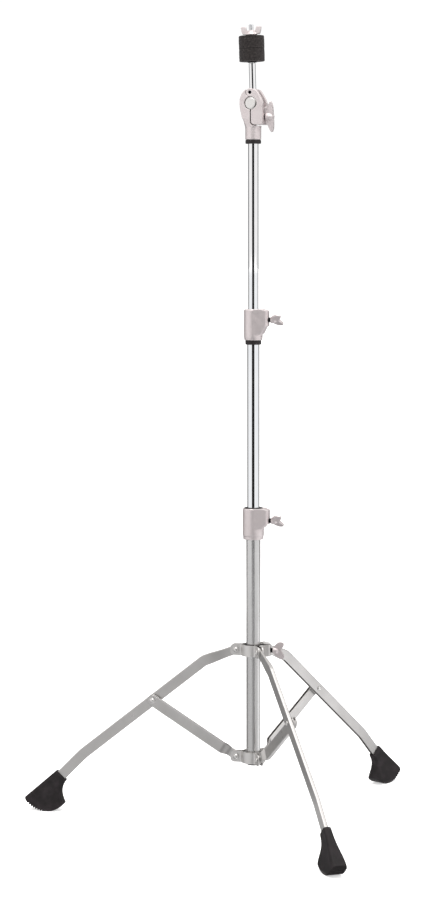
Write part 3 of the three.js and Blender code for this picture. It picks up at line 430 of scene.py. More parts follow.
# %% [markdown]
# ### Plated pressed steel
# Legs, braces and hub strips are pressed from cold rolled strip and zinc plated. The rolls leave a fine
# grain, the plating bath leaves soft clouds a few centimetres wide, and the cut edges are rubbed bright.
# The tint is a neutral grey. The grain is drawn 0.7 mm. The hub strips were tumbled before plating, so they
# are lighter and duller.

# %% Plated pressed steel
def plated_strip(name, light, dark, smooth, rough):
    finish, tree = blank_finish(name)
    cloud = pattern(tree, 35, 5, 0.6)
    grain = pattern(tree, 0.7, 2)
    shade = mixed(tree, cloud, light, dark)
    return closed_with(finish, {
        "Base Color": rubbed(tree, shade, 0.51, 0.6, 0.5, "#dcdad8"), "Metallic": 1.0,
        "Roughness": spread(tree, cloud, 0.3, 0.7, smooth, rough), "Normal": relief(tree, grain, 0.15, 0.03)})


strip_steel = plated_strip("plated_pressed_steel", "#cdcbc9", "#bab8b6", 0.26, 0.38)
band_steel = plated_strip("plated_hub_steel", "#e4e2e0", "#d3d1cf", 0.36, 0.48)

# %% [markdown]
# ### Bright nickel and near-black screws
# Rivets, the tilter's barrel and the clamp nut are barrel-tumbled and nickel plated: brighter than the
# strip, with tiny dents. The screw shanks, the hinge pins and the set screw get a steel that is almost
# black, much darker than the castings.

# %% Bright nickel
def tumbled_nickel():
    finish, tree = blank_finish("bright_nickel")
    dents = pattern(tree, 1.2, 4)
    return closed_with(finish, {
        "Base Color": mixed(tree, dents, "#e9e8e6", "#d9d7d5"), "Metallic": 1.0,
        "Roughness": spread(tree, dents, 0.3, 0.7, 0.17, 0.27), "Normal": relief(tree, dents, 0.25, 0.03)})


nickel = tumbled_nickel()

# %% Near-black screw steel
def near_black_screw():
    finish, tree = blank_finish("near_black_screw_steel")
    stain = pattern(tree, 2.5, 4)
    return closed_with(finish, {
        "Base Color": mixed(tree, stain, "#3a3a3d", "#1c1c1f"), "Metallic": 1.0,
        "Roughness": spread(tree, stain, 0.3, 0.7, 0.3, 0.5)})


near_black = near_black_screw()

# %% [markdown]
# ### Black nylon and black rubber
# Bushes, the stop ring and the leg hub's sleeve are injection-moulded nylon: deep black with a soft sheen
# from the mould's spark-eroded wall, grain about 0.3 mm, drawn 0.6. The feet are moulded rubber, greyer and
# duller, a little chalky where the bloom has come out and where the floor has rubbed it.

# %% Moulded nylon
def moulded_nylon():
    finish, tree = blank_finish("black_moulded_nylon")
    cloud = pattern(tree, 8, 3)
    grain = pattern(tree, 0.6, 2)
    return closed_with(finish, {
        "Base Color": mixed(tree, cloud, "#221c1c", "#151112"), "IOR": 1.53, "Specular IOR Level": 0.3,
        "Roughness": spread(tree, cloud, 0.3, 0.7, 0.4, 0.52), "Normal": relief(tree, grain, 0.3, 0.03)})


nylon = moulded_nylon()

# %% Moulded rubber
def moulded_rubber():
    finish, tree = blank_finish("black_moulded_rubber")
    bloom = pattern(tree, 14, 5, 0.65)
    grain = pattern(tree, 0.9, 3)
    chalk = spread(tree, bloom, 0.42, 0.72, 0.0, 1.0)
    shade = mixed(tree, chalk, "#161213", "#2a2427")
    return closed_with(finish, {
        "Base Color": rubbed(tree, shade, 0.52, 0.62, 0.7, "#343033"),
        "IOR": 1.52, "Specular IOR Level": 0.25,
        "Roughness": spread(tree, bloom, 0.3, 0.7, 0.5, 0.68), "Normal": relief(tree, grain, 0.5, 0.06)})


rubber = moulded_rubber()

# %% [markdown]
# ### Charcoal wool felt
# The felts are punched from sheet of pressed wool, almost 20 mm thick. The fibres are 0.03 mm, far too fine
# to show, but they lie in tufts of 1 to 3 mm, lighter and darker, and they stand up a little at the skin.
# So the colour and the bump both come from tufts and speckles, and sheen gives the soft light edge of
# standing fibres.

# %% Charcoal felt
def wool_felt():
    finish, tree = blank_finish("charcoal_wool_felt")
    tuft = pattern(tree, 2.2, 6, 0.7)
    speck = pattern(tree, 0.8, 2)
    shade = mixed(tree, spread(tree, tuft, 0.35, 0.68, 0.0, 1.0), "#151313", "#332f2e")
    height = add(tree, "Math", {0: tuft, 1: speck}, operation="ADD").outputs[0]
    return closed_with(finish, {
        "Base Color": mixed(tree, spread(tree, speck, 0.6, 0.74, 0.0, 0.8), shade, "#6e6865"),
        "Roughness": 0.95, "IOR": 1.5, "Specular IOR Level": 0.15, "Sheen Weight": 0.2,
        "Sheen Roughness": 0.5, "Sheen Tint": linear("#8d8b90"), "Normal": relief(tree, height, 0.8, 0.35)})


wool = wool_felt()

# %% [markdown]
# ## Setting a piece in the stand
# One helper carries a finished body to its place, gives it its finish, hides the CAD solid that it stands
# for and lets it ride on that solid's body. Only edges sharper than the given angle stay crisp, and large
# faces decide how the light falls beside a small rounded edge, so that flats look flat and tubes straight.

# %% A piece of the stand
def piece(name, body, place, finish, node, replaces=True, crisp=35):
    body.transform(place)
    thing = as_object(body, name)
    body.free()
    thing.data.materials.append(finish)
    thing.data.shade_smooth()
    thing.data.set_sharp_from_angle(angle=math.radians(crisp))
    if crisp < 180:
        thing.modifiers.new("flat_faces_lead", "WEIGHTED_NORMAL").keep_sharp = True
    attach(thing, frame["nodes"][node]["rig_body"])
    if replaces:
        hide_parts(node)
    return thing


def heights(node):
    """Lowest and highest point of a CAD node, in millimetres"""
    low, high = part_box(node)
    return low.z / MM, high.z / MM


def half_width(node):
    low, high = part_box(node)
    return (high.x - low.x) / 2 / MM


print("the lower tube runs from", [round(z, 1) for z in heights("lower_tube")], "mm")

# %% [markdown]
# ## Tubes
# A tube's wall is 1.2 mm. Its ends are sawn and broken with a file, so the profile is a thin rectangle with
# small round corners, revolved with enough sides to stay round in a close look.

# %% The three tubes of the mast
wall = 1.2
gap = 0.3
upper_bore, middle_bore, lower_bore = 8.25, 9.825, 11.4


def drawn_tube(name, node, finish):
    bottom, top = heights(node)
    outer = half_width(node)
    corners = [(outer - wall, bottom), (outer, bottom), (outer, top), (outer - wall, top)]
    return piece(name, turned_ring(corners, 0.4, 3), mast_axes, finish, node)


drawn_tube("tube_lower", "lower_tube", satin)
drawn_tube("tube_middle", "middle_tube", chrome)
drawn_tube("tube_upper", "upper_tube", chrome)
print("the lower tube is", round(2 * half_width("lower_tube"), 1), "mm across")

# %% [markdown]
# The tubes are closed below by moulded plugs. The lowest is a rubber button behind the lower hub; the two
# in the sliding tubes guide them and stay inside.

# %% Plugs in the tube ends
bottom, top = heights("tube_end_plug")
outer = half_width("tube_end_plug")
seat = heights("lower_tube")[0] - gap
button_hole, button_step = 5, 1.5
button = turned_ring([
    (button_hole, bottom), (outer - 1.2, bottom, 0.6), (outer, bottom + 1.8, 0.8), (outer, seat),
    (outer - button_step, seat), (outer - button_step, top, 1), (button_hole, top)], 0.3)
piece("plug_rubber", button, mast_axes, rubber, "tube_end_plug")

guide_hole = 4.5
for name, node, tube in (("plug_middle", "middle_tube_plug", "middle_tube"),
                         ("plug_upper", "upper_tube_plug", "upper_tube")):
    bottom, top = heights(node)
    flange = half_width(node)
    spigot = half_width(tube) - wall - gap
    seat = heights(tube)[0] - gap
    guide = turned_ring([
        (guide_hole, bottom), (flange, bottom, 0.8), (flange, seat), (spigot, seat), (spigot, top, 0.8),
        (guide_hole, top)], 0.3, 3)
    piece(name, guide, mast_axes, nylon, node)
print("three plugs")

# %% [markdown]
# ## Nylon rings on the mast
# The stop ring under the tilter, the bush in the lower collar's mouth and the flanged bush under the upper
# collar are moulded. Moulded edges are rounded by about half a millimetre, which gives each ring a thin
# light line.

# %% Stop ring and bushes
bush_bore = 9.85
ring_radius = 12
bottom, top = heights("stop_ring")
bottom += 0.9
stop_ring = turned_ring([
    (upper_bore, bottom), (ring_radius, bottom), (ring_radius, top), (upper_bore, top)], 1.2, 5)
piece("ring_stop", stop_ring, mast_axes, nylon, "stop_ring")

lower_bush_radius = 14.2
bottom, top = heights("lower_collar_bush")
lower_bush = turned_ring([
    (bush_bore, bottom), (lower_bush_radius, bottom), (lower_bush_radius, top), (bush_bore, top)], 0.5)
piece("bush_lower", lower_bush, mast_axes, nylon, "lower_collar_bush")

upper_bush_radius, flange_radius = 11.03, 12.3
bottom, top = heights("upper_collar_bush")
flange_top = bottom + 6.5
upper_bush = turned_ring([
    (bush_bore, bottom), (flange_radius, bottom, 0.9), (flange_radius, flange_top, 0.9),
    (upper_bush_radius, flange_top), (upper_bush_radius, top), (bush_bore, top)], 0.3)
piece("bush_upper", upper_bush, mast_axes, nylon, "upper_collar_bush")
print("two bushes and the stop ring, up to a radius of", lower_bush_radius, "mm")

# %% [markdown]
# ## Height clamps
# Each clamp is a zinc collar with a boss that carries the wing bolt. The pattern maker blends the boss into
# the round body, so body and boss are joined, bored for the two tubes and the bolt, and then given one cast
# skin.

# %% Casting a collar
def collar_body(size):
    """The collar about its tube, with the boss towards +X; heights count from its lower face"""
    radius, height, reach, half = size["radius"], size["height"], size["boss_reach"], size["boss_half"]
    lip = radius - size["lip_step"]
    around = turned_solid([
        (0, 0, 0), (lip, 0, 1), (lip, size["lip_height"], 0.3),
        (radius, size["lip_height"] + size["lip_step"], 0.5), (radius, height, 1.6), (0, height, 0)])
    corner = math.hypot(reach, half)
    flank = math.asin(radius / corner) - math.atan2(half, reach)
    touch_x, touch_y = radius * math.sin(flank), radius * math.cos(flank)
    plan = rounded([(0, -radius * 0.8, 0), (touch_x, -touch_y, 0), (reach, -half), (reach, half),
                    (touch_x, touch_y, 0), (0, radius * 0.8, 0)], 6, steps=8)
    side = rounded([
        (-radius, size["boss_foot"], 0), (radius, size["boss_foot"], 5), (reach * 0.88, size["boss_low"], 5),
        (reach + 9, size["boss_low"], 0), (reach + 9, height - size["boss_drop"], 0),
        (reach, height - size["boss_drop"], 2), (reach * 0.62, height, 5), (-radius, height, 0)], 0, steps=6)
    boss = loft([[(x, y, z) for x, y in plan] for z in (size["boss_foot"] - 1, height)])
    boss = shared(boss, plate(side, -radius - 1, radius + 1))
    return joined(around, boss)


def sideways(body):
    """Lays a body drawn along +Z down along +X"""
    body.transform(Matrix.Rotation(math.pi / 2, 4, "Y"))
    return body


lower_size = dict(radius=16.6, height=48.8, boss_reach=25.7, boss_half=8, boss_low=24.5, boss_foot=17.5,
                  boss_drop=2.4, lip_height=5.4, lip_step=0.8, bolt_up=29.7)
upper_size = dict(radius=14.5, height=47.7, boss_reach=24.7, boss_half=7.6, boss_low=22, boss_foot=8.5,
                  boss_drop=2.4, lip_height=3.5, lip_step=0.5, bolt_up=31.5)
print("collars are", lower_size["height"], "and", upper_size["height"], "mm high")

# %% Boring the collars
bolt_hole = 4.3
below, beyond, bolt_reach = -9, 60, 40


def moved(body, x=0.0, y=0.0, z=0.0):
    body.transform(Matrix.Translation((x, y, z)))
    return body


def bolt_bore(start=0):
    """The way of a wing bolt, along +X"""
    return sideways(shaft(bolt_hole, start, bolt_reach))


def clamp(name, node, joint, size, *bores):
    """A collar with its tube bores and bush seat, then the bolt's way, then any more"""
    casting = bored(collar_body(size), *bores[:3], moved(bolt_bore(), z=size["bolt_up"]), *bores[3:])
    turn = heading(joints[joint]["axis"])
    piece(name, cast(casting), axes(up_mast(heights(node)[0] * MM), turn), zinc, node)
    print("the boss of", name, "points to", round(turn, 1), "degrees")


clamp("collar_lower", "lower_collar", "lower_bolt_turn", lower_size,
      shaft(lower_bore, below, 21.3), shaft(middle_bore, 0, beyond),
      shaft(14.5, lower_size["height"] - 9.3, beyond))
drain = sideways(shaft(1.5, 12, 20, 32))
drain.transform(Matrix.Rotation(math.radians(-13), 4, "Z"))
clamp("collar_upper", "upper_collar", "upper_bolt_turn", upper_size,
      shaft(middle_bore, below, 22.3), shaft(upper_bore, 0, beyond), shaft(11.35, below, 10.3),
      moved(drain, z=5.5))

# %% [markdown]
# ## Wing bolts
# A wing bolt is a steel screw with a zinc head cast on it. The head is a round hub with two wings that are
# thick at the root and thin at the tip. Hub and wings are joined, and the cast skin makes the fillets. The
# screw gets a real thread: the radius rises and falls once each pitch while it goes round.

# %% A thread
thread_radius, thread_pitch = 3.9, 1.25


def threaded(start, end, sides=32, rows_per_turn=6):
    """A screw along +Z with a chamfer at its far end"""
    rows = max(int((end - start) / thread_pitch * rows_per_turn), 2)
    rings = []
    for row in range(rows + 1):
        height = start + (end - start) * row / rows
        chamfer = max(0.0, 1.2 - (end - height))
        ring = []
        for k in range(sides):
            phase = (height / thread_pitch - k / sides) % 1
            out = thread_radius - 0.55 * thread_pitch * abs(2 * phase - 1) - chamfer
            angle = 2 * math.pi * k / sides
            ring.append((out * math.cos(angle), out * math.sin(angle), height))
        rings.append(ring)
    return loft(rings)


print("a screw of 20 mm has", int(20 / thread_pitch), "turns of thread")

# %% The wing bolts
flared_shares = [(0.0, -0.1), (0.66, -0.1), (0.78, 0.14), (0.9, 0.38), (1, 0.62), (0.99, 0.85), (0.86, 0.98),
                 (0.64, 1), (0.4, 0.86), (0.1, 0.4)]
paddle_shares = [(0.0, -0.1), (0.96, -0.1), (1, 0.15), (1, 0.42), (0.97, 0.7), (0.87, 0.93), (0.71, 1),
                 (0.52, 0.91), (0.3, 0.66), (0.06, 0.28)]
small_wing = dict(hub=5.4, length=9, reach=17.8, span=14, thick=4.6, outline=flared_shares)
large_wing = dict(hub=6.2, length=12, reach=12.5, span=23.5, thick=6, outline=paddle_shares)


def wing_head(size):
    """The cast head along +X, its near face at zero"""
    hub_shares = ((0.88, 0), (1, 0.2), (0.9, 0.7), (0.55, 1))
    profile = [(size["hub"] * out, size["length"] * up) for out, up in hub_shares]
    hub = sideways(turned_solid([(0, 0, 0)] + profile + [(0, size["length"], 0)], 1, 64))
    wings = []
    for side in (-1, 1):
        line = flowing([(along * size["reach"], side * out * size["span"]) for along, out in size["outline"]])
        wing = plate(line, -size["thick"] / 2, size["thick"] / 2)
        for vert in wing.verts:
            vert.co.y *= 1.05 - 0.4 * abs(vert.co.z) / size["span"]
        wings.append(wing)
    return cast(joined(hub, *wings), grain=0.42, soften=5, keep=0.4)


def wing_bolt(name, node, joint, size, shank, turn):
    place = axes(spot(joint), heading(joints[joint]["axis"])) @ Matrix.Rotation(math.radians(turn), 4, "X")
    piece(name, wing_head(size), place, zinc, node)
    screw = sideways(threaded(-1, shank))
    screw.transform(Matrix.Rotation(math.pi, 4, "Z"))
    piece(name + "_screw", screw, place, near_black, node, replaces=False, crisp=50)


wing_bolt("wing_hub", "hub_wing_bolt", "hub_bolt_turn", small_wing, 19.4, 12)
wing_bolt("wing_lower", "lower_wing_bolt", "lower_bolt_turn", small_wing, 19, 49)
wing_bolt("wing_upper", "upper_wing_bolt", "upper_bolt_turn", small_wing, 19.6, 56)
wing_bolt("wing_tilter", "tilter_wing_bolt", "tilter_bolt_turn", large_wing, 29.6, 8)
print("four wing bolts")

# %% [markdown]
# ## Tilter
# The tilter is two castings: a body with the socket for the tube, and a jaw that is hinged to it at the
# top. They close on a turning barrel that carries the rod. Both are drawn from the front and made 26 mm
# deep, with a slot in the middle for the rod, and the large wing bolt pulls them together.

# %% Body of the tilter
tilter_turn = heading(joints["tilter_bolt_turn"]["axis"])
tilter_place = axes(spot("cymbal_tilt"), tilter_turn)
depth = 26
barrel = 9.2
barrel_way = barrel + 0.7
pin_across, pin_up, knuckle, pin_way = -1.1, 16.2, 6.3, 2.5
ear = depth / 2 - 3.3
rod_slot = 5.8
tilter_bolt_up = -20.8
socket_end = -55.2


def across(body):
    """Lays a body drawn along +Z down along +Y"""
    body.transform(Matrix.Rotation(-math.pi / 2, 4, "X"))
    return body


def box_body(low, high):
    corners = [(low[0], low[2]), (high[0], low[2]), (high[0], high[2]), (low[0], high[2])]
    return plate(corners, low[1], high[1])


def at_pin(body):
    return moved(body, x=pin_across, z=pin_up)


def pin_shaft(radius, start, end):
    """A round body along the hinge pin"""
    return at_pin(across(shaft(radius, start, end)))


def soft_square(half_x, half_y, power, count=96):
    """A ring from an ellipse, with power 2, to a rectangle with round corners, with power 10"""
    ring = []
    for k in range(count):
        c, s = math.cos(2 * math.pi * k / count), math.sin(2 * math.pi * k / count)
        x, y = (math.copysign(abs(share) ** (2 / power), share) for share in (c, s))
        ring.append((half_x * x, half_y * y))
    return ring


cheeks = plate(rounded([
    (-0.75, -24, 0), (-0.75, 0, 0), (pin_across, 20.5, 3), (-9.1, 20.5, 4), (-14.2, 14.8, 5), (-17.5, 7.8, 5),
    (-18.2, 0, 6), (-17.4, -8.4, 6), (-14.6, -20.2, 6), (-13.7, -24, 0)], 0, steps=5),
    -depth / 2, depth / 2)
neck = loft([[(x, y, z) for x, y in soft_square(half_x, half_y, power)] for z, half_x, half_y, power in (
    (-22, 14.0, 12.95, 10), (-25, 13.3, 12.9, 7), (-28, 12.8, 12.8, 5), (-31, 12.5, 12.6, 3.7),
    (-34, 12.35, 12.4, 2.7), (-37, 12.25, 12.25, 2.1), (-38, 12.2, 12.2, 2))])
jaw_room = plate(rounded([
    (-0.7, -5, 0), (-0.7, -33.9, 6), (30, -34.7, 0), (30, -5, 0)], 0, steps=6), -depth, depth)
socket = turned_solid([(0, socket_end, 0), (12.3, socket_end, 0.8), (12.3, -36, 0.3), (0, -36, 0)])
ears = pin_shaft(knuckle - 0.3, -ear, ear)
bolt_way = sideways(shaft(bolt_hole, -9.4, 20))
bolt_way.transform(Matrix.Rotation(math.radians(2.3), 4, "X"))
body_casting = bored(
    joined(cheeks, bored(neck, jaw_room), socket, ears),
    moved(bolt_way, z=tilter_bolt_up),
    shaft(upper_bore, -60, -38),
    pin_shaft(knuckle + 0.45, ear + 0.1, depth),
    pin_shaft(knuckle + 0.45, -depth, -ear - 0.1),
    across(shaft(barrel_way, -depth, depth)),
    box_body((-30, -rod_slot, -0.1), (20, rod_slot, 40)),
    pin_shaft(pin_way, -depth, depth),
)
screw_axes = Matrix.Translation((0, 0, 11 + socket_end)) @ Matrix.Rotation(math.radians(35), 4, "Z")
screw_hole = sideways(shaft(2.2, 0, 20, 32))
screw_hole.transform(screw_axes)
body_casting = bored(body_casting, screw_hole)
print("the tilter body fills", round(body_casting.calc_volume()), "cubic mm")
finely = dict(grain=0.42, soften=4, keep=0.4)
piece("tilter_casting", cast(body_casting, **finely), tilter_place, zinc, "tilter_body")
print("the tilter faces", round(tilter_turn, 1), "degrees")

# %% Jaw of the tilter
jaw = plate(rounded([
    (0.75, 0, 0), (0.75, -32.4, 5), (19.4, -33.1, 2.5), (19.4, 0, 8), (17.5, 5.4, 5), (14, 11.8, 6),
    (8.1, 20.8, 6), (pin_across, 22.5, 2)], 0, steps=5), -depth / 2, depth / 2)
jaw_casting = bored(
    joined(jaw, pin_shaft(knuckle, -depth / 2, depth / 2)),
    pin_shaft(knuckle + 0.3, -depth / 2 + 3, depth / 2 - 3),
    across(shaft(barrel_way, -depth, depth)),
    box_body((-30, -rod_slot, -6.2), (30, rod_slot, 40)),
    pin_shaft(pin_way, -depth, depth),
    moved(sideways(shaft(4.8, -20, 40)), z=tilter_bolt_up),
)
piece("tilter_jaw_casting", cast(jaw_casting, **finely), tilter_place, zinc, "tilter_jaw")
print("the jaw hangs at", round(spot("jaw_open").z / MM, 1), "mm")

# %% [markdown]
# The barrel is a turned steel drum with a bright end that shows as a white disc. The rod passes through it.
# The hinge pins have a small drilled recess in their ends, and the set screw a hexagon socket.

# %% Barrel, pins and set screw
end = depth / 2 + 0.9
journal = barrel - 0.9
drum = across(turned_solid([
    (0, -end, 0), (journal, -end, 0.8), (journal, -end + 3, 0), (barrel, -end + 3, 0), (barrel, end - 3, 0),
    (journal, end - 3, 0), (journal, end, 0.8), (0, end, 0)], 0.8))
rod_lean = -1.7
rod_hole = shaft(5.5, -7, 20)
rod_hole.transform(Matrix.Rotation(math.radians(rod_lean), 4, "Y"))
piece("tilter_drum", bored(drum, rod_hole), tilter_place, nickel, "tilter_barrel")

pin_radius, recess, pin_start, pin_end = 2.2, 1.5, 6.1, depth / 2
for side, half_turn in (("rear", 0), ("front", math.pi)):
    pin = across(turned_solid([
        (0, pin_start, 0), (pin_radius, pin_start, 0.2), (pin_radius, pin_end, 0.3), (recess, pin_end, 0.1),
        (recess, pin_end - 3, 0.2), (0, pin_end - 3.5, 0)], 0, 48, 3))
    pin.transform(Matrix.Rotation(half_turn, 4, "Z"))
    piece("hinge_pin_" + side, at_pin(pin), tilter_place, near_black, "tilter_pin_" + side)

grub = sideways(bored(shaft(1.9, upper_bore, 11.9, 40), shaft(1.1, 9.9, 20, 6)))
grub.transform(screw_axes)
piece("set_screw", grub, tilter_place, near_black, "tilter_set_screw")
print("the barrel is", 2 * end, "mm long")

# %% [markdown]
# ## Post for the cymbal
# The rod leans a little in the tilter. Above its shoulder it is thinner and threaded; a nylon sleeve keeps
# the cymbal off the thread, the two felts sit round the sleeve, and the wing nut holds them down.

# %% Rod and sleeve
post_place = axes(spot("cymbal_tilt"), tilter_turn, rod_lean)
shoulder, tip = 60.6, 120
rod_radius, core = 5.2, 3.3
core_end = shoulder + 4
rod = turned_solid([
    (0, -6, 0), (rod_radius, -6, 0.6), (rod_radius, shoulder, 0.5), (core, shoulder, 0), (core, core_end, 0),
    (0, core_end, 0)], steps=3)
piece("rod", rod, post_place, chrome, "cymbal_rod")
piece("rod_thread", threaded(shoulder + 1, tip, sides=48), post_place, chrome, "cymbal_rod",
      replaces=False, crisp=50)
sleeve_low, sleeve_flange, sleeve_top = 61.6, 62.9, 102.9
sleeve = turned_ring([
    (5.4, sleeve_low), (7, sleeve_low, 0.5), (7, sleeve_flange, 0.5), (5.6, sleeve_flange), (5.6, sleeve_top),
    (4.2, sleeve_top), (4.2, 61.9), (5.4, 61.9)], 0.2, 3)
piece("sleeve", sleeve, post_place, nylon, "cymbal_sleeve")
print("the post is", tip, "mm long from the tilter's axis")

# %% [markdown]
# ## Felts
# A felt is a soft ring with no sharp edge anywhere. The ring is revolved with many small faces, and then
# every point is pushed in or out along its normal: a slow wave for the uneven cut and a fine one for the
# tufts. Single fibres that stand up from the skin are added as slivers, because they make the outline soft.

# %% Pressed felt rings
import random

felt_radius, felt_height = 19.5, 19.4
fibre_count, root = 500, 0.05


def felt_ring(low, high, low_round, high_round, seed):
    inner, outer, middle = 6.1, felt_radius, (low + high) / 2
    line = rounded([
        (inner, low, 0.4), (outer, low, low_round), (outer + 0.1, middle, 30), (outer, high, high_round),
        (inner, high, 0.4)], 0, steps=8)
    even = []
    for (r0, z0), (r1, z1) in zip(line, line[1:] + line[:1]):
        parts = max(int(math.hypot(r1 - r0, z1 - z0) / 0.55), 1)
        even += [(r0 + (r1 - r0) * k / parts, z0 + (z1 - z0) * k / parts) for k in range(parts)]
    ring = revolve(even, 200, ring=True)
    ring.normal_update()
    shift = Vector((seed, seed * 2, 0))
    for vert, normal in [(v, v.normal.copy()) for v in ring.verts]:
        slow = noise.noise(vert.co / 9 + shift)
        tufts = noise.noise(vert.co / 1.7 + shift)
        vert.co += normal * (0.2 * slow + 0.26 * tufts - 0.14)
    return ring


def fibres(bottom, seed):
    chance = random.Random(seed)
    bm = bmesh.new()
    for _ in range(fibre_count):
        turn = chance.uniform(0, 2 * math.pi)
        out = Vector((math.cos(turn), math.sin(turn), 0))
        start = out * (felt_radius - root) + Vector((0, 0, bottom + chance.uniform(1.2, 18.1)))
        lie = Vector((chance.gauss(0, 1), chance.gauss(0, 1), chance.gauss(0, 1))).normalized()
        first = start + (out * 0.5 + lie * 0.7) * chance.uniform(0.4, 0.8)
        last = first + (out * 0.1 + lie) * chance.uniform(0.3, 0.8)
        wide = out.cross(lie).normalized() * root
        row = [bm.verts.new(p) for p in (start - wide, start + wide, first + wide, first - wide, last)]
        bm.faces.new(row[:4])
        bm.faces.new((row[3], row[2], row[4]))
    return bm


for name, node, bottom, rounds, seed in (("felt_bottom", "lower_felt", 63.2, (1.1, 0.5), 3),
                                         ("felt_top", "upper_felt", 82.8, (0.5, 1.1), 7)):
    ring = felt_ring(bottom, bottom + felt_height, *rounds, seed)
    hair = bpy.data.meshes.new("hair")
    fibres(bottom, seed).to_mesh(hair)
    ring.from_mesh(hair)
    piece(name, ring, post_place, wool, node, crisp=180)
print("each felt has", fibre_count, "standing fibres")

# %% [markdown]
# ## Wing nut
# A cast wing nut: a flared base that presses on the felt, a hub, and two wings that rise and spread. It is
# joined, bored and given the cast skin like the other castings.

# %% Cast wing nut
nut_base = 103.2
nut_hub = turned_solid([
    (0, 0, 0), (9, 0, 0.5), (9, 1.8, 0.8), (6.9, 3.2, 1.5), (5.8, 6.8, 0.8), (0, 6.8, 0)], sides=64)
nut_top = 13.2
nut_wing = rounded([
    (3.4, 1.0, 0), (13.4, 1.3, 1.2), (15.1, 5.2, 8), (16.2, 11.8, 1.2), (15.4, nut_top, 0.8),
    (8.4, nut_top - 0.2, 1), (7.6, 11.2, 1.5), (6, 5.6, 1.5), (3.4, 4.6, 0)], 0, steps=5)
nut_wings = []
for side in (-1, 1):
    wing = plate([(side * out, up) for out, up in nut_wing], -2.2, 2.2)
    for vert in wing.verts:
        vert.co.y *= 1.05 - 0.25 * vert.co.z / nut_top
    nut_wings.append(wing)
nut_body = bored(joined(nut_hub, *nut_wings), shaft(4.3, -9, 30))
nut_place = post_place @ Matrix.Translation((0, 0, nut_base)) @ Matrix.Rotation(math.radians(6), 4, "Z")
piece("nut_winged", cast(nut_body, grain=0.38, soften=4, keep=0.4), nut_place, zinc, "wing_nut")
print("the wing nut tops out at", round((nut_place @ Vector((0, 0, nut_top))).z / MM, 1), "mm")

# %% [markdown]
# ## Hubs
# Each hub is three strips of 2 mm steel with a tab on each side of every leg. They are bent round a sleeve,
# which is steel in the fixed hub and nylon in the sliding one. A strip is a loft: its section follows the
# bent line, and its height falls away at both ends, which rounds the tabs. One strip of the sliding hub
# stands out in the middle and makes the pocket for the clamping nut.

# %% Following a line
def stretch(line):
    """Distances along a line, point by point"""
    total = [0.0]
    for a, b in zip(line, line[1:]):
        total.append(total[-1] + math.hypot(b[0] - a[0], b[1] - a[1]))
    return total


def along(line, distance):
    """The point at a distance along a line"""
    total = stretch(line)
    distance = min(max(distance, 0), total[-1])
    k = next(i for i in range(1, len(total)) if total[i] >= distance - 1e-9)
    share = (distance - total[k - 1]) / max(total[k] - total[k - 1], 1e-9)
    a, b = Vector(line[k - 1]), Vector(line[k])
    return a + (b - a) * share


def direction(line, distance):
    return (along(line, distance + 0.3) - along(line, distance - 0.3)).normalized()


print("a right angle is", stretch([(0, 0), (3, 0), (3, 4)])[-1], "mm long")

# %% Bending a hub strip
strip_height = 17.7
bend_radius = 17.5
tab_side = 3.25


def hub_strip(pocket):
    def tab(reach):
        turned = Matrix.Rotation(math.radians(-60), 2) @ Vector((reach, tab_side))
        return (turned.x, turned.y)
    line = [tab(36) + (0,), tab(18.6) + (2.5,)]
    last = 26 if pocket else 0
    for k in range(5):
        angle = math.radians(43 - (43 - last) * k / 4)
        line.append((bend_radius * math.cos(angle), -bend_radius * math.sin(angle), 6))
    if pocket:
        line[-1] = line[-1][:2] + (2,)
        line.append((19.6, -7.2, 1.5))
        line.append((26.6, -6.8, 1.8))
    half = line if pocket else line[:-1]
    line = half + ([] if pocket else line[-1:]) + [(x, -y, r) for x, y, r in reversed(half)]
    path = rounded(line, 0, steps=5, closed=False)
    length = stretch(path)[-1]
    near_end = [0.02, 0.3, 0.8, 1.5, 2.4, 3.4, 4.6, 6, 7.5]
    count = int((length - 16) / 0.9)
    stops = near_end + [8 + (length - 16) * k / count for k in range(count + 1)]
    stops += [length - d for d in reversed(near_end)]
    corner = 6.5
    rings = []
    for stop in stops:
        here = along(path, stop)
        ahead = direction(path, stop)
        side = Vector((-ahead.y, ahead.x))
        from_end = min(stop, length - stop)
        fall = 0 if from_end > corner else corner - math.sqrt(corner ** 2 - (corner - from_end) ** 2)
        high = strip_height / 2 - fall
        section = rounded([(-1, -high), (1, -high), (1, high), (-1, high)], 0.3, steps=2)
        rings.append([(here.x + side.x * w, here.y + side.y * w, z) for w, z in section])
    return loft(rings)


print("a hub strip has", len(hub_strip(False).faces), "faces")

# %% Both hubs
sides = ("front", "right", "left")
pivots = {side: spot(side + "_leg_fold") for side in sides}
turns = {side: heading(pivots[side] - mast) for side in sides}
planes = {side: axes(mast, turns[side]) for side in sides}
hub_heights = {"leg_hub": pivots["front"].z, "lower_hub": spot("front_brace_fold").z}
seat = 4.55
hub_out = 27
lining_radius = 14.7


def rivet_tail(seat):
    return [(0, seat + 0.7, 0), (1.7, seat + 0.7, 0.3), (2.1, seat + 1.5, 0.3), (3.1, seat + 1.3, 0.5),
            (3.9, seat + 0.5, 0.4), (3.9, seat, 0.1), (2.6, seat, 0)]


def rivet_head(seat):
    return [(2.6, seat, 0), (4.9, seat, 0.2), (4.9, seat + 0.8, 0.3), (4.2, seat + 0.9, 0.2),
            (3.9, seat + 0.5, 0.2), (3.5, seat + 1.3, 0.6), (2.2, seat + 2.4, 2), (0, seat + 2.7, 0)]


def turned_over(line):
    return [(radius, -height, own) for radius, height, own in line]


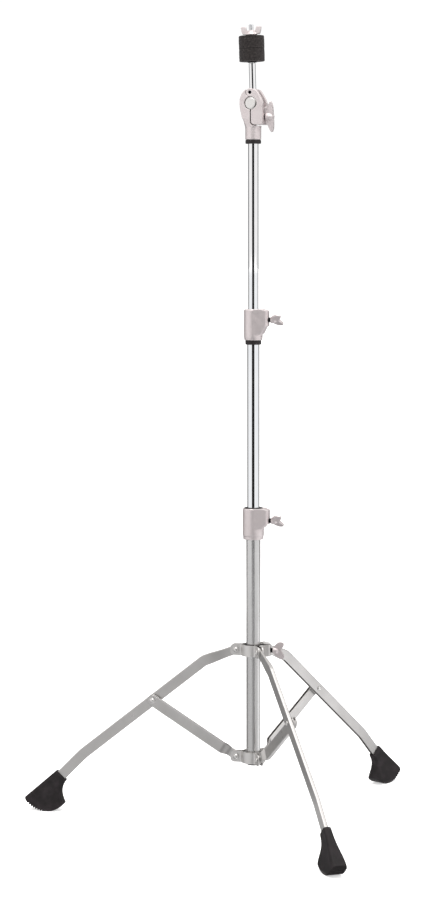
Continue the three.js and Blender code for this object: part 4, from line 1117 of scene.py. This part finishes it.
hub_rivet = rounded(turned_over(rivet_tail(seat)) + rivet_head(seat), 0, steps=4, closed=False)
for hub, height in hub_heights.items():
    for i, (side, strip) in enumerate(zip(sides, ("right", "back", "left"))):
        pocket = hub == "leg_hub" and strip == "right"
        body = hub_strip(pocket)
        if pocket:
            body = bored(body, bolt_bore(20))
        place = axes(up_mast(height), turns[side] + 60)
        piece(f"{hub}_band_{strip}", body, place, band_steel, f"{hub}_strip_{strip}")
        pin = moved(across(revolve(hub_rivet, 48)), x=hub_out)
        piece(f"{hub}_stud_{side}", pin, axes(up_mast(height), turns[side]), nickel,
              f"{hub}_rivet_{side}")
    low, high = (z - height / MM for z in heights(hub + "_sleeve"))
    lining = turned_ring([
        (lower_bore, low), (lining_radius, low), (lining_radius, high), (lower_bore, high)], 0.5)
    if hub == "leg_hub":
        way = bolt_bore()
        way.transform(Matrix.Rotation(math.radians(turns["front"] + 60), 4, "Z"))
        lining = bored(lining, way)
    finish, slot = (nylon, "nylon") if hub == "leg_hub" else (strip_steel, "pressed_steel")
    piece(f"{hub}_lining", lining, axes(up_mast(height)), finish, hub + "_sleeve")
print("legs point to", {side: round(turn, 1) for side, turn in turns.items()})

# %% Square nut in the pocket
nut_half = 5.5
nut_block = box_body((20.3, -nut_half, -nut_half), (25.3, nut_half, nut_half))
nut_block = worked(nut_block, ("BEVEL", {"width": 0.6, "segments": 3}))
nut_block = bored(nut_block, bolt_bore())
nut_place = axes(up_mast(hub_heights["leg_hub"]), turns["front"] + 60)
piece("square_nut", nut_block, nut_place, nickel, "hub_clamp_nut")
print("the nut is", 2 * nut_half, "mm square")

# %% [markdown]
# ## Legs and braces
# Legs and braces are channels: strip folded into a U. A leg opens downwards, starts flat between the hub's
# tabs, grows to full size in the first 50 mm and bends twice on its way to the foot. A brace opens upwards
# and steps sideways just outside its hub, so that it lies next to the leg. Each is one loft of its U-shaped
# section.

# %% Section of a channel
sheet, fold = 1.5, 1.4


def channel_section(width, height, wall, corner, downwards):
    """Points of a U, as (sideways, up), always the same number"""
    half, tall = width / 2, height / 2
    inner = max(half - wall, 0.2)
    ceiling = max(tall - wall, 0.25 - tall)
    corner = min(corner, half * 0.8, tall * 0.8)
    lip = min(0.3, wall / 4, tall / 4)
    line = [(half, lip - tall)]
    for centre, start in ((half - corner, 0), (corner - half, 90)):
        for k in range(6):
            angle = math.radians(start + 18 * k)
            line.append((centre + corner * math.cos(angle), tall - corner + corner * math.sin(angle)))
    line += [(-half, lip - tall), (lip - half, -tall), (-inner - lip, -tall), (-inner, lip - tall)]
    small = min(corner * 0.4, inner * 0.8, 0.6)
    for k in range(4):
        angle = math.radians(180 - 30 * k)
        line.append((small - inner + small * math.cos(angle), ceiling - small + small * math.sin(angle)))
    for k in range(4):
        angle = math.radians(90 - 30 * k)
        line.append((inner - small + small * math.cos(angle), ceiling - small + small * math.sin(angle)))
    line += [(inner, lip - tall), (inner + lip, -tall), (half - lip, -tall)]
    return line if downwards else [(-side, -up) for side, up in line]


def channel(path, stops, size_at, wall, corner, downwards):
    """A channel along a path in the upright plane; size_at gives width, height and sideways offset"""
    rings = []
    for stop in stops:
        here = along(path, stop)
        ahead = direction(path, stop)
        width, height, offset = size_at(stop)
        section = channel_section(width, height, wall, corner, downwards)
        up = Vector((-ahead.y, ahead.x))
        rings.append([(here.x + up.x * u, offset + s, here.y + up.y * u) for s, u in section])
    return loft(rings)


print("a channel's section has", len(channel_section(6.4, 16.6, sheet, fold, True)), "points")

# %% Following the leg
def blend(a, b, share):
    """From a to b, gently at both ends"""
    share = min(max(share, 0), 1)
    return a + (b - a) * share * share * (3 - 2 * share)


def round_end(distance, radius):
    """Half height of a rounded bar end, at a distance from its tip"""
    return math.sqrt(max(radius ** 2 - (radius - min(distance, radius)) ** 2, 0.04))


link = 158
spread_angle = math.radians(57.5)
rivet_out, rivet_up = link * math.sin(spread_angle), -link * math.cos(spread_angle)
main_slope, end_slope = math.radians(38.6), math.radians(45.4)
upper_out, below_rivet, end_run = 51.6, 115.4, 73.4
upper_bend = (upper_out, rivet_up + (rivet_out - upper_out) * math.tan(main_slope))
lower_bend = (rivet_out + below_rivet, rivet_up - below_rivet * math.tan(main_slope))
leg_end = (lower_bend[0] + end_run * math.cos(end_slope), lower_bend[1] - end_run * math.sin(end_slope))
first_slope = math.atan2(upper_bend[1], upper_bend[0])
tongue = 7
leg_start = (-tongue * math.cos(first_slope), -tongue * math.sin(first_slope))
leg_line = rounded([leg_start, upper_bend + (22,), lower_bend + (40,), leg_end], 0, steps=10, closed=False)
leg_length = stretch(leg_line)[-1]
bend_at = tongue + math.hypot(*upper_bend)


grow_from, grow_to = 22, bend_at - 6
tab_width, width_gain, leg_gain = 3.9, 2.5, 2.6


def leg_size(stop):
    grown = blend(0, 1, (stop - grow_from) / (grow_to - grow_from))
    height = 2 * tongue + leg_gain * grown
    if stop < tongue:
        height = 2 * round_end(stop, tongue)
    return tab_width + width_gain * grown, height, 0


print("a leg is", round(leg_length), "mm long")

# %% Legs
def spaced(start, end, count):
    return [start + (end - start) * k / count for k in range(count + 1)]


stops = [0.02, 0.2, 0.6, 1.2, 2, 3, 4.2, 5.5, 6.5, 7] + spaced(9, 22, 3) + spaced(25, bend_at + 10, 26)
stops += spaced(bend_at + 20, bend_at + 250, 14) + spaced(bend_at + 255, leg_length - 60, 14)
stops += [leg_length - 30, leg_length]
stops = sorted(set(stops))
upper_pivot = hub_heights["leg_hub"] / MM
lower_pivot = hub_heights["lower_hub"] / MM
rivet_place = (hub_out + rivet_out, upper_pivot + rivet_up)
for side in sides:
    bar = channel(leg_line, stops, leg_size, sheet, fold, True)
    bar = moved(bar, x=hub_out, z=upper_pivot)
    piece(f"leg_channel_{side}", bar, planes[side], strip_steel, f"leg_{side}")
print("three legs of", len(stops), "stations")

# %% Braces
brace_slope = math.pi / 2 - spread_angle
brace_half = 8.65
brace_end = link + brace_half
brace_side = 6.7
brace_line = [(d * math.cos(brace_slope), d * math.sin(brace_slope)) for d in (-tongue, brace_end)]
brace_length = brace_end + tongue


def brace_size(stop):
    share = (stop - tongue - 12) / 16
    grown = blend(0, 1, share * 1.4)
    height = 2 * (tongue + (brace_half - tongue) * grown)
    if stop < tongue:
        height = 2 * round_end(stop, tongue)
    if brace_length - stop < brace_half:
        height = 2 * round_end(brace_length - stop, brace_half)
    return tab_width + width_gain * grown, height, brace_side * blend(0, 1, share)


ends = [0.02, 0.2, 0.6, 1.2, 2, 3, 4.2, 5.5, 7, 8.65]
brace_stops = ends + spaced(11, 41, 26) + spaced(50, brace_length - 20, 6)
brace_stops += [brace_length - d for d in reversed(ends)]
for side in sides:
    bar = channel(brace_line, brace_stops, brace_size, sheet, fold, False)
    bar = moved(bar, x=hub_out, z=lower_pivot)
    piece(f"brace_channel_{side}", bar, planes[side], strip_steel, f"brace_{side}")
print("three braces", round(brace_length), "mm long")

# %% [markdown]
# The rivet where a leg and its brace cross is two halves, because each rides on its own body. They part between
# the two channels, and each keeps a hair's gap there, so that they don't touch when the folded base closes.

# %% Rivets where they cross
parting, split, rivet_core = 3.35, 0.08, 2.6
head_face, tail_face = parting + split, split - parting
head_line = [(0, head_face, 0), (rivet_core, head_face, 0)] + rivet_head(10.2)
tail_line = [(0, tail_face, 0), (rivet_core, tail_face, 0)] + rivet_tail(3.5)[::-1]
for side in sides:
    head = moved(across(turned_solid(head_line, sides=48)), x=rivet_place[0], z=rivet_place[1])
    piece(f"brace_stud_{side}", head, planes[side], nickel, f"brace_rivet_{side}")
    tail = across(turned_solid(tail_line, sides=48))
    tail.transform(Matrix.Rotation(math.pi, 4, "Z"))
    tail = moved(tail, x=rivet_place[0], z=rivet_place[1])
    piece(f"leg_stud_{side}", tail, planes[side], nickel, f"leg_rivet_{side}")
print("rivets stand", round(rivet_place[0], 1), "mm from the mast")

# %% [markdown]
# ## Feet
# A foot is one block of moulded rubber with a socket for the leg. From the socket it widens to a curved
# sole, and the outer half of the sole is cut across by grooves that grip. It is a loft from the mouth to
# the sole, with enough points along the sole for every groove, and the socket is cut out at the end.

# %% Shape of a foot
down = Vector((math.cos(end_slope), -math.sin(end_slope)))
outwards = Vector((math.sin(end_slope), math.cos(end_slope)))
leg_inside = 24
mouth = Vector(leg_end) + down * (gap - leg_inside)
top_half, top_width, sole_width, sole_radius = 11, 12.6, 24.5, 40
outer_tip, inner_tip, waist = Vector((68.9, 16.4)), Vector((30.4, -35.4)), Vector((21.9, -12.4))


def in_plane(flat):
    """From the foot's own down and across to the leg's plane"""
    return mouth + down * flat.x + outwards * flat.y


chord = in_plane(outer_tip) - in_plane(inner_tip)
chord_middle = (in_plane(outer_tip) + in_plane(inner_tip)) / 2
sole_rise = math.sqrt(sole_radius ** 2 - (chord.length / 2) ** 2)
sole_centre = chord_middle + Vector((-chord.y, chord.x)).normalized() * sole_rise


groove_start, groove_pitch, groove_half, groove_slope, groove_depth, last_groove = 6.7, 4.2, 1.25, 0.5, 1.8, 6


def groove(point):
    """How far a sole point lies in a groove, from 0 to 1"""
    angle = math.atan2(point.x - sole_centre.x, sole_centre.y - point.y)
    run = (angle * sole_radius - groove_start) / groove_pitch
    if run < -0.5 or run > last_groove + 0.5:
        return 0
    off = abs(run - round(run)) * groove_pitch
    return min(max((groove_half - off) / groove_slope, 0), 1)


print("a sole is", round(chord.length), "mm across")

# %% Lofting a foot
def foot_ring(share, inset, is_sole):
    widen = 0.5 - 0.5 * math.cos(math.pi * share ** 1.5)
    curve = max(share ** 1.4, 0.01)
    outer = Vector((0, top_half)).lerp(outer_tip, share)
    rest = 1 - share
    inner = rest ** 2 * Vector((0, -top_half)) + 2 * share * rest * waist + share ** 2 * inner_tip
    middle, reach = (outer + inner) / 2, (outer - inner) / 2
    outward = Vector((reach.y, -reach.x)).normalized()
    half_chord, radius = reach.length, sole_radius / curve
    half = (top_width + (sole_width - top_width) * widen) / 2 - inset
    end = half_chord - inset
    corner = min(3 + 2 * share, half * 0.8)
    side = [(end - corner + corner * math.cos(a), half - corner + corner * math.sin(a))
            for a in (math.radians(15 * k) for k in range(6))]
    side += [(end - corner - 2 * (end - corner) * k / 130, half) for k in range(131)]
    side += [(-x, y) for x, y in reversed(side[:6])]
    points = []
    for x, y in side:
        sag = math.sqrt(radius ** 2 - x ** 2) - math.sqrt(radius ** 2 - half_chord ** 2)
        point = in_plane(middle + reach.normalized() * x + outward * sag)
        if is_sole:
            point += (sole_centre - point).normalized() * groove_depth * groove(point)
        points.append((hub_out + point.x, y, max(upper_pivot + point.y, 0)))
    return [(x, -y, z) for x, y, z in points] + [(x, y, z) for x, y, z in reversed(points)]


def foot_body():
    bevel = [(1 - math.cos(math.radians(a)), 1 - math.sin(math.radians(a))) for a in (0, 22, 45, 68)]
    mouth_edge, sole_edge = 2.4, 0.8
    rings = [foot_ring(depth * mouth_edge / 55, inset * mouth_edge, False) for depth, inset in bevel]
    rings += [foot_ring(share, 0, False) for share in spaced(0.06, 0.955, 16)]
    for depth, inset in reversed(bevel):
        rings.append(foot_ring(1 - depth * sole_edge / 45, inset * sole_edge, True))
    return loft(rings, strips=True)


socket_hole = box_body((-6, -3.5, -8.6), (24, 3.5, 8.6))
socket_hole.transform(Matrix.Translation((hub_out + mouth.x, 0, upper_pivot + mouth.y))
                      @ Matrix.Rotation(end_slope, 4, "Y"))
moulding = bored(foot_body(), socket_hole)
for side in sides:
    piece(f"foot_moulding_{side}", moulding.copy(), planes[side], rubber, f"foot_{side}", crisp=40)
print("a foot has", len(moulding.faces), "faces")

# %% [markdown]
# ## Camera
# The photograph was taken from 3.7 m away at 0.94 m height with a long lens, looking down by five and a
# half degrees. The camera was fitted to the feet, hubs and tubes of the frame, so the render lies over the
# photograph.

# %% Camera as in the photograph
lens_pixels, image_height = 2425, 900
camera = bpy.data.objects.new("camera", bpy.data.cameras.new("camera"))
bpy.context.scene.collection.objects.link(camera)
bpy.context.scene.camera = camera
camera.data.sensor_fit = "VERTICAL"
sensor = 24
camera.data.sensor_height = sensor
camera.data.lens = sensor * lens_pixels / image_height
yaw, pitch, roll = math.radians(-0.872), math.radians(5.505), math.radians(-0.1)
look = Vector((math.sin(yaw) * math.cos(pitch), math.cos(yaw) * math.cos(pitch), -math.sin(pitch)))
aside, away, eye_height = 0.004, 3.744, 0.945
camera.location = (mast.x - aside, mast.y - away, eye_height)
camera.rotation_mode = "QUATERNION"
camera.rotation_quaternion = look.to_track_quat("-Z", "Y") @ Matrix.Rotation(roll, 3, "Z").to_quaternion()
print("lens:", round(camera.data.lens, 1), "mm on a 24 mm high sensor")

# %% [markdown]
# ## Studio
# The photograph is a catalogue picture on pure white. A wide white floor and a white world give that.
# Polished tubes show what stands round them, so the room matters more than the lamps: a dark card behind
# the camera makes the black line down each chromed tube, and a grey card round the back darkens the tubes'
# edges. The lower half of the mast and the legs mirror the floor, so sheets of their own brightness lie on
# it all round. Cards and sheets aren't seen by the camera, cast no shadow and give no soft light.

# %% White room
world = bpy.data.worlds.new("white_room")
bpy.context.scene.world = world
world.use_nodes = True
world.node_tree.nodes.clear()
path = add(world.node_tree, "LightPath")
seen = add(world.node_tree, "Background", {"Color": (1, 1, 1, 1), "Strength": 1.05})
given = add(world.node_tree, "Background", {"Color": linear("#fdfbfa"), "Strength": 1.03})
choice = add(world.node_tree, "MixShader", {
    0: path.outputs["Is Camera Ray"], 1: given.outputs[0], 2: seen.outputs[0]})
add(world.node_tree, "OutputWorld", {"Surface": choice.outputs[0]})
bpy.context.scene.view_settings.view_transform = "Standard"
print("the world is white")

# %% Floor
floor_finish, tree = blank_finish("pale_floor")
dust = add(tree, "TexNoise", {"Scale": 3.0, "Detail": 2.0})
closed_with(floor_finish, {
    "Base Color": mixed(tree, dust.outputs["Fac"], "#fbfbfb", "#f6f6f6"), "Roughness": 0.9,
    "Specular IOR Level": 0.1, "Emission Color": (1, 1, 1, 1), "Emission Strength": 0.5})
floor_half, floor_depth = 40, 0.02
corners = [(-floor_half, -floor_half), (floor_half, -floor_half), (floor_half, floor_half),
           (-floor_half, floor_half)]
floor = as_object(loft([[(x, y, z) for x, y in corners] for z in (-floor_depth, 0)]), "floor")
floor.data.materials.append(floor_finish)
print("the floor is", 2 * floor_half, "m wide")

# %% Cards for the reflections
def reflected(name, bm, brightness):
    """Stage that only shows in the polished pieces"""
    finish, tree = blank_finish(name)
    glow = add(tree, "Emission", {"Color": (brightness, brightness, brightness * 1.01, 1), "Strength": 1.0})
    add(tree, "OutputMaterial", {"Surface": glow.outputs[0]})
    thing = as_object(bm, name)
    thing.data.materials.append(finish)
    thing.visible_camera = False
    thing.visible_diffuse = False
    thing.visible_shadow = False
    return thing


def sweep(azimuth_from, azimuth_to, ends):
    """A strip round the mast between two (distance, height) ends; azimuth 0 is towards the camera"""
    bm = bmesh.new()
    rows = []
    for k in range(25):
        angle = math.radians(azimuth_from + (azimuth_to - azimuth_from) * k / 24)
        rows.append([bm.verts.new((mast.x + out * math.sin(angle), mast.y - out * math.cos(angle), up))
                     for out, up in ends])
    for a, b in zip(rows, rows[1:]):
        bm.faces.new((a[0], b[0], b[1], a[1]))
    return bm


card_distance, card_top = 2.4, 1.5
cards = [("card_behind_camera", -27, 21, 0.1, 0.02), ("card_behind", 112, 252, 0, 0.24)]
for name, start, end, low, brightness in cards:
    reflected(name, sweep(start, end, [(card_distance, low), (card_distance, card_top)]), brightness)

near, far, lifted, under = 0.02, 2, 0.004, 0.003
sheets = [("front", -15, 24, near, far, lifted, 0.34), ("left", -100, -15, near, far, lifted, 0.68),
          ("left_behind", -180, -100, near, far, lifted, 0.3),
          ("right_front", 24, 75, near, far, lifted, 0.72), ("right", 75, 118, near, far, lifted, 1.25),
          ("right_behind", 118, 180, near, far, lifted, 0.6),
          ("front_far", -22, 22, far, 6, lifted, 0.8), ("far", -180, 180, 1.9, 38, under, 1.0)]
for name, start, end, inside, outside, height, brightness in sheets:
    reflected("sheet_" + name, sweep(start, end, [(inside, height), (outside, height)]), brightness)
print(len(cards), "cards stand round the stand, and", len(sheets), "sheets lie round it")

# %% Soft lamps
def softbox(name, azimuth, height, distance, size, watts):
    lamp = bpy.data.objects.new(name, bpy.data.lights.new(name, "AREA"))
    bpy.context.scene.collection.objects.link(lamp)
    lamp.data.size = size
    lamp.data.energy = watts
    angle = math.radians(azimuth)
    lamp.location = mast + Vector((distance * math.sin(angle), -distance * math.cos(angle), height))
    aim = mast + Vector((0, 0, 0.6)) - lamp.location
    lamp.rotation_mode = "QUATERNION"
    lamp.rotation_quaternion = aim.to_track_quat("-Z", "Y")
    return lamp


softbox("top", 10, 3.4, 0.9, 2.4, 45)
softbox("right", 70, 1.8, 3.2, 2.0, 16).visible_glossy = False
print("two softboxes")
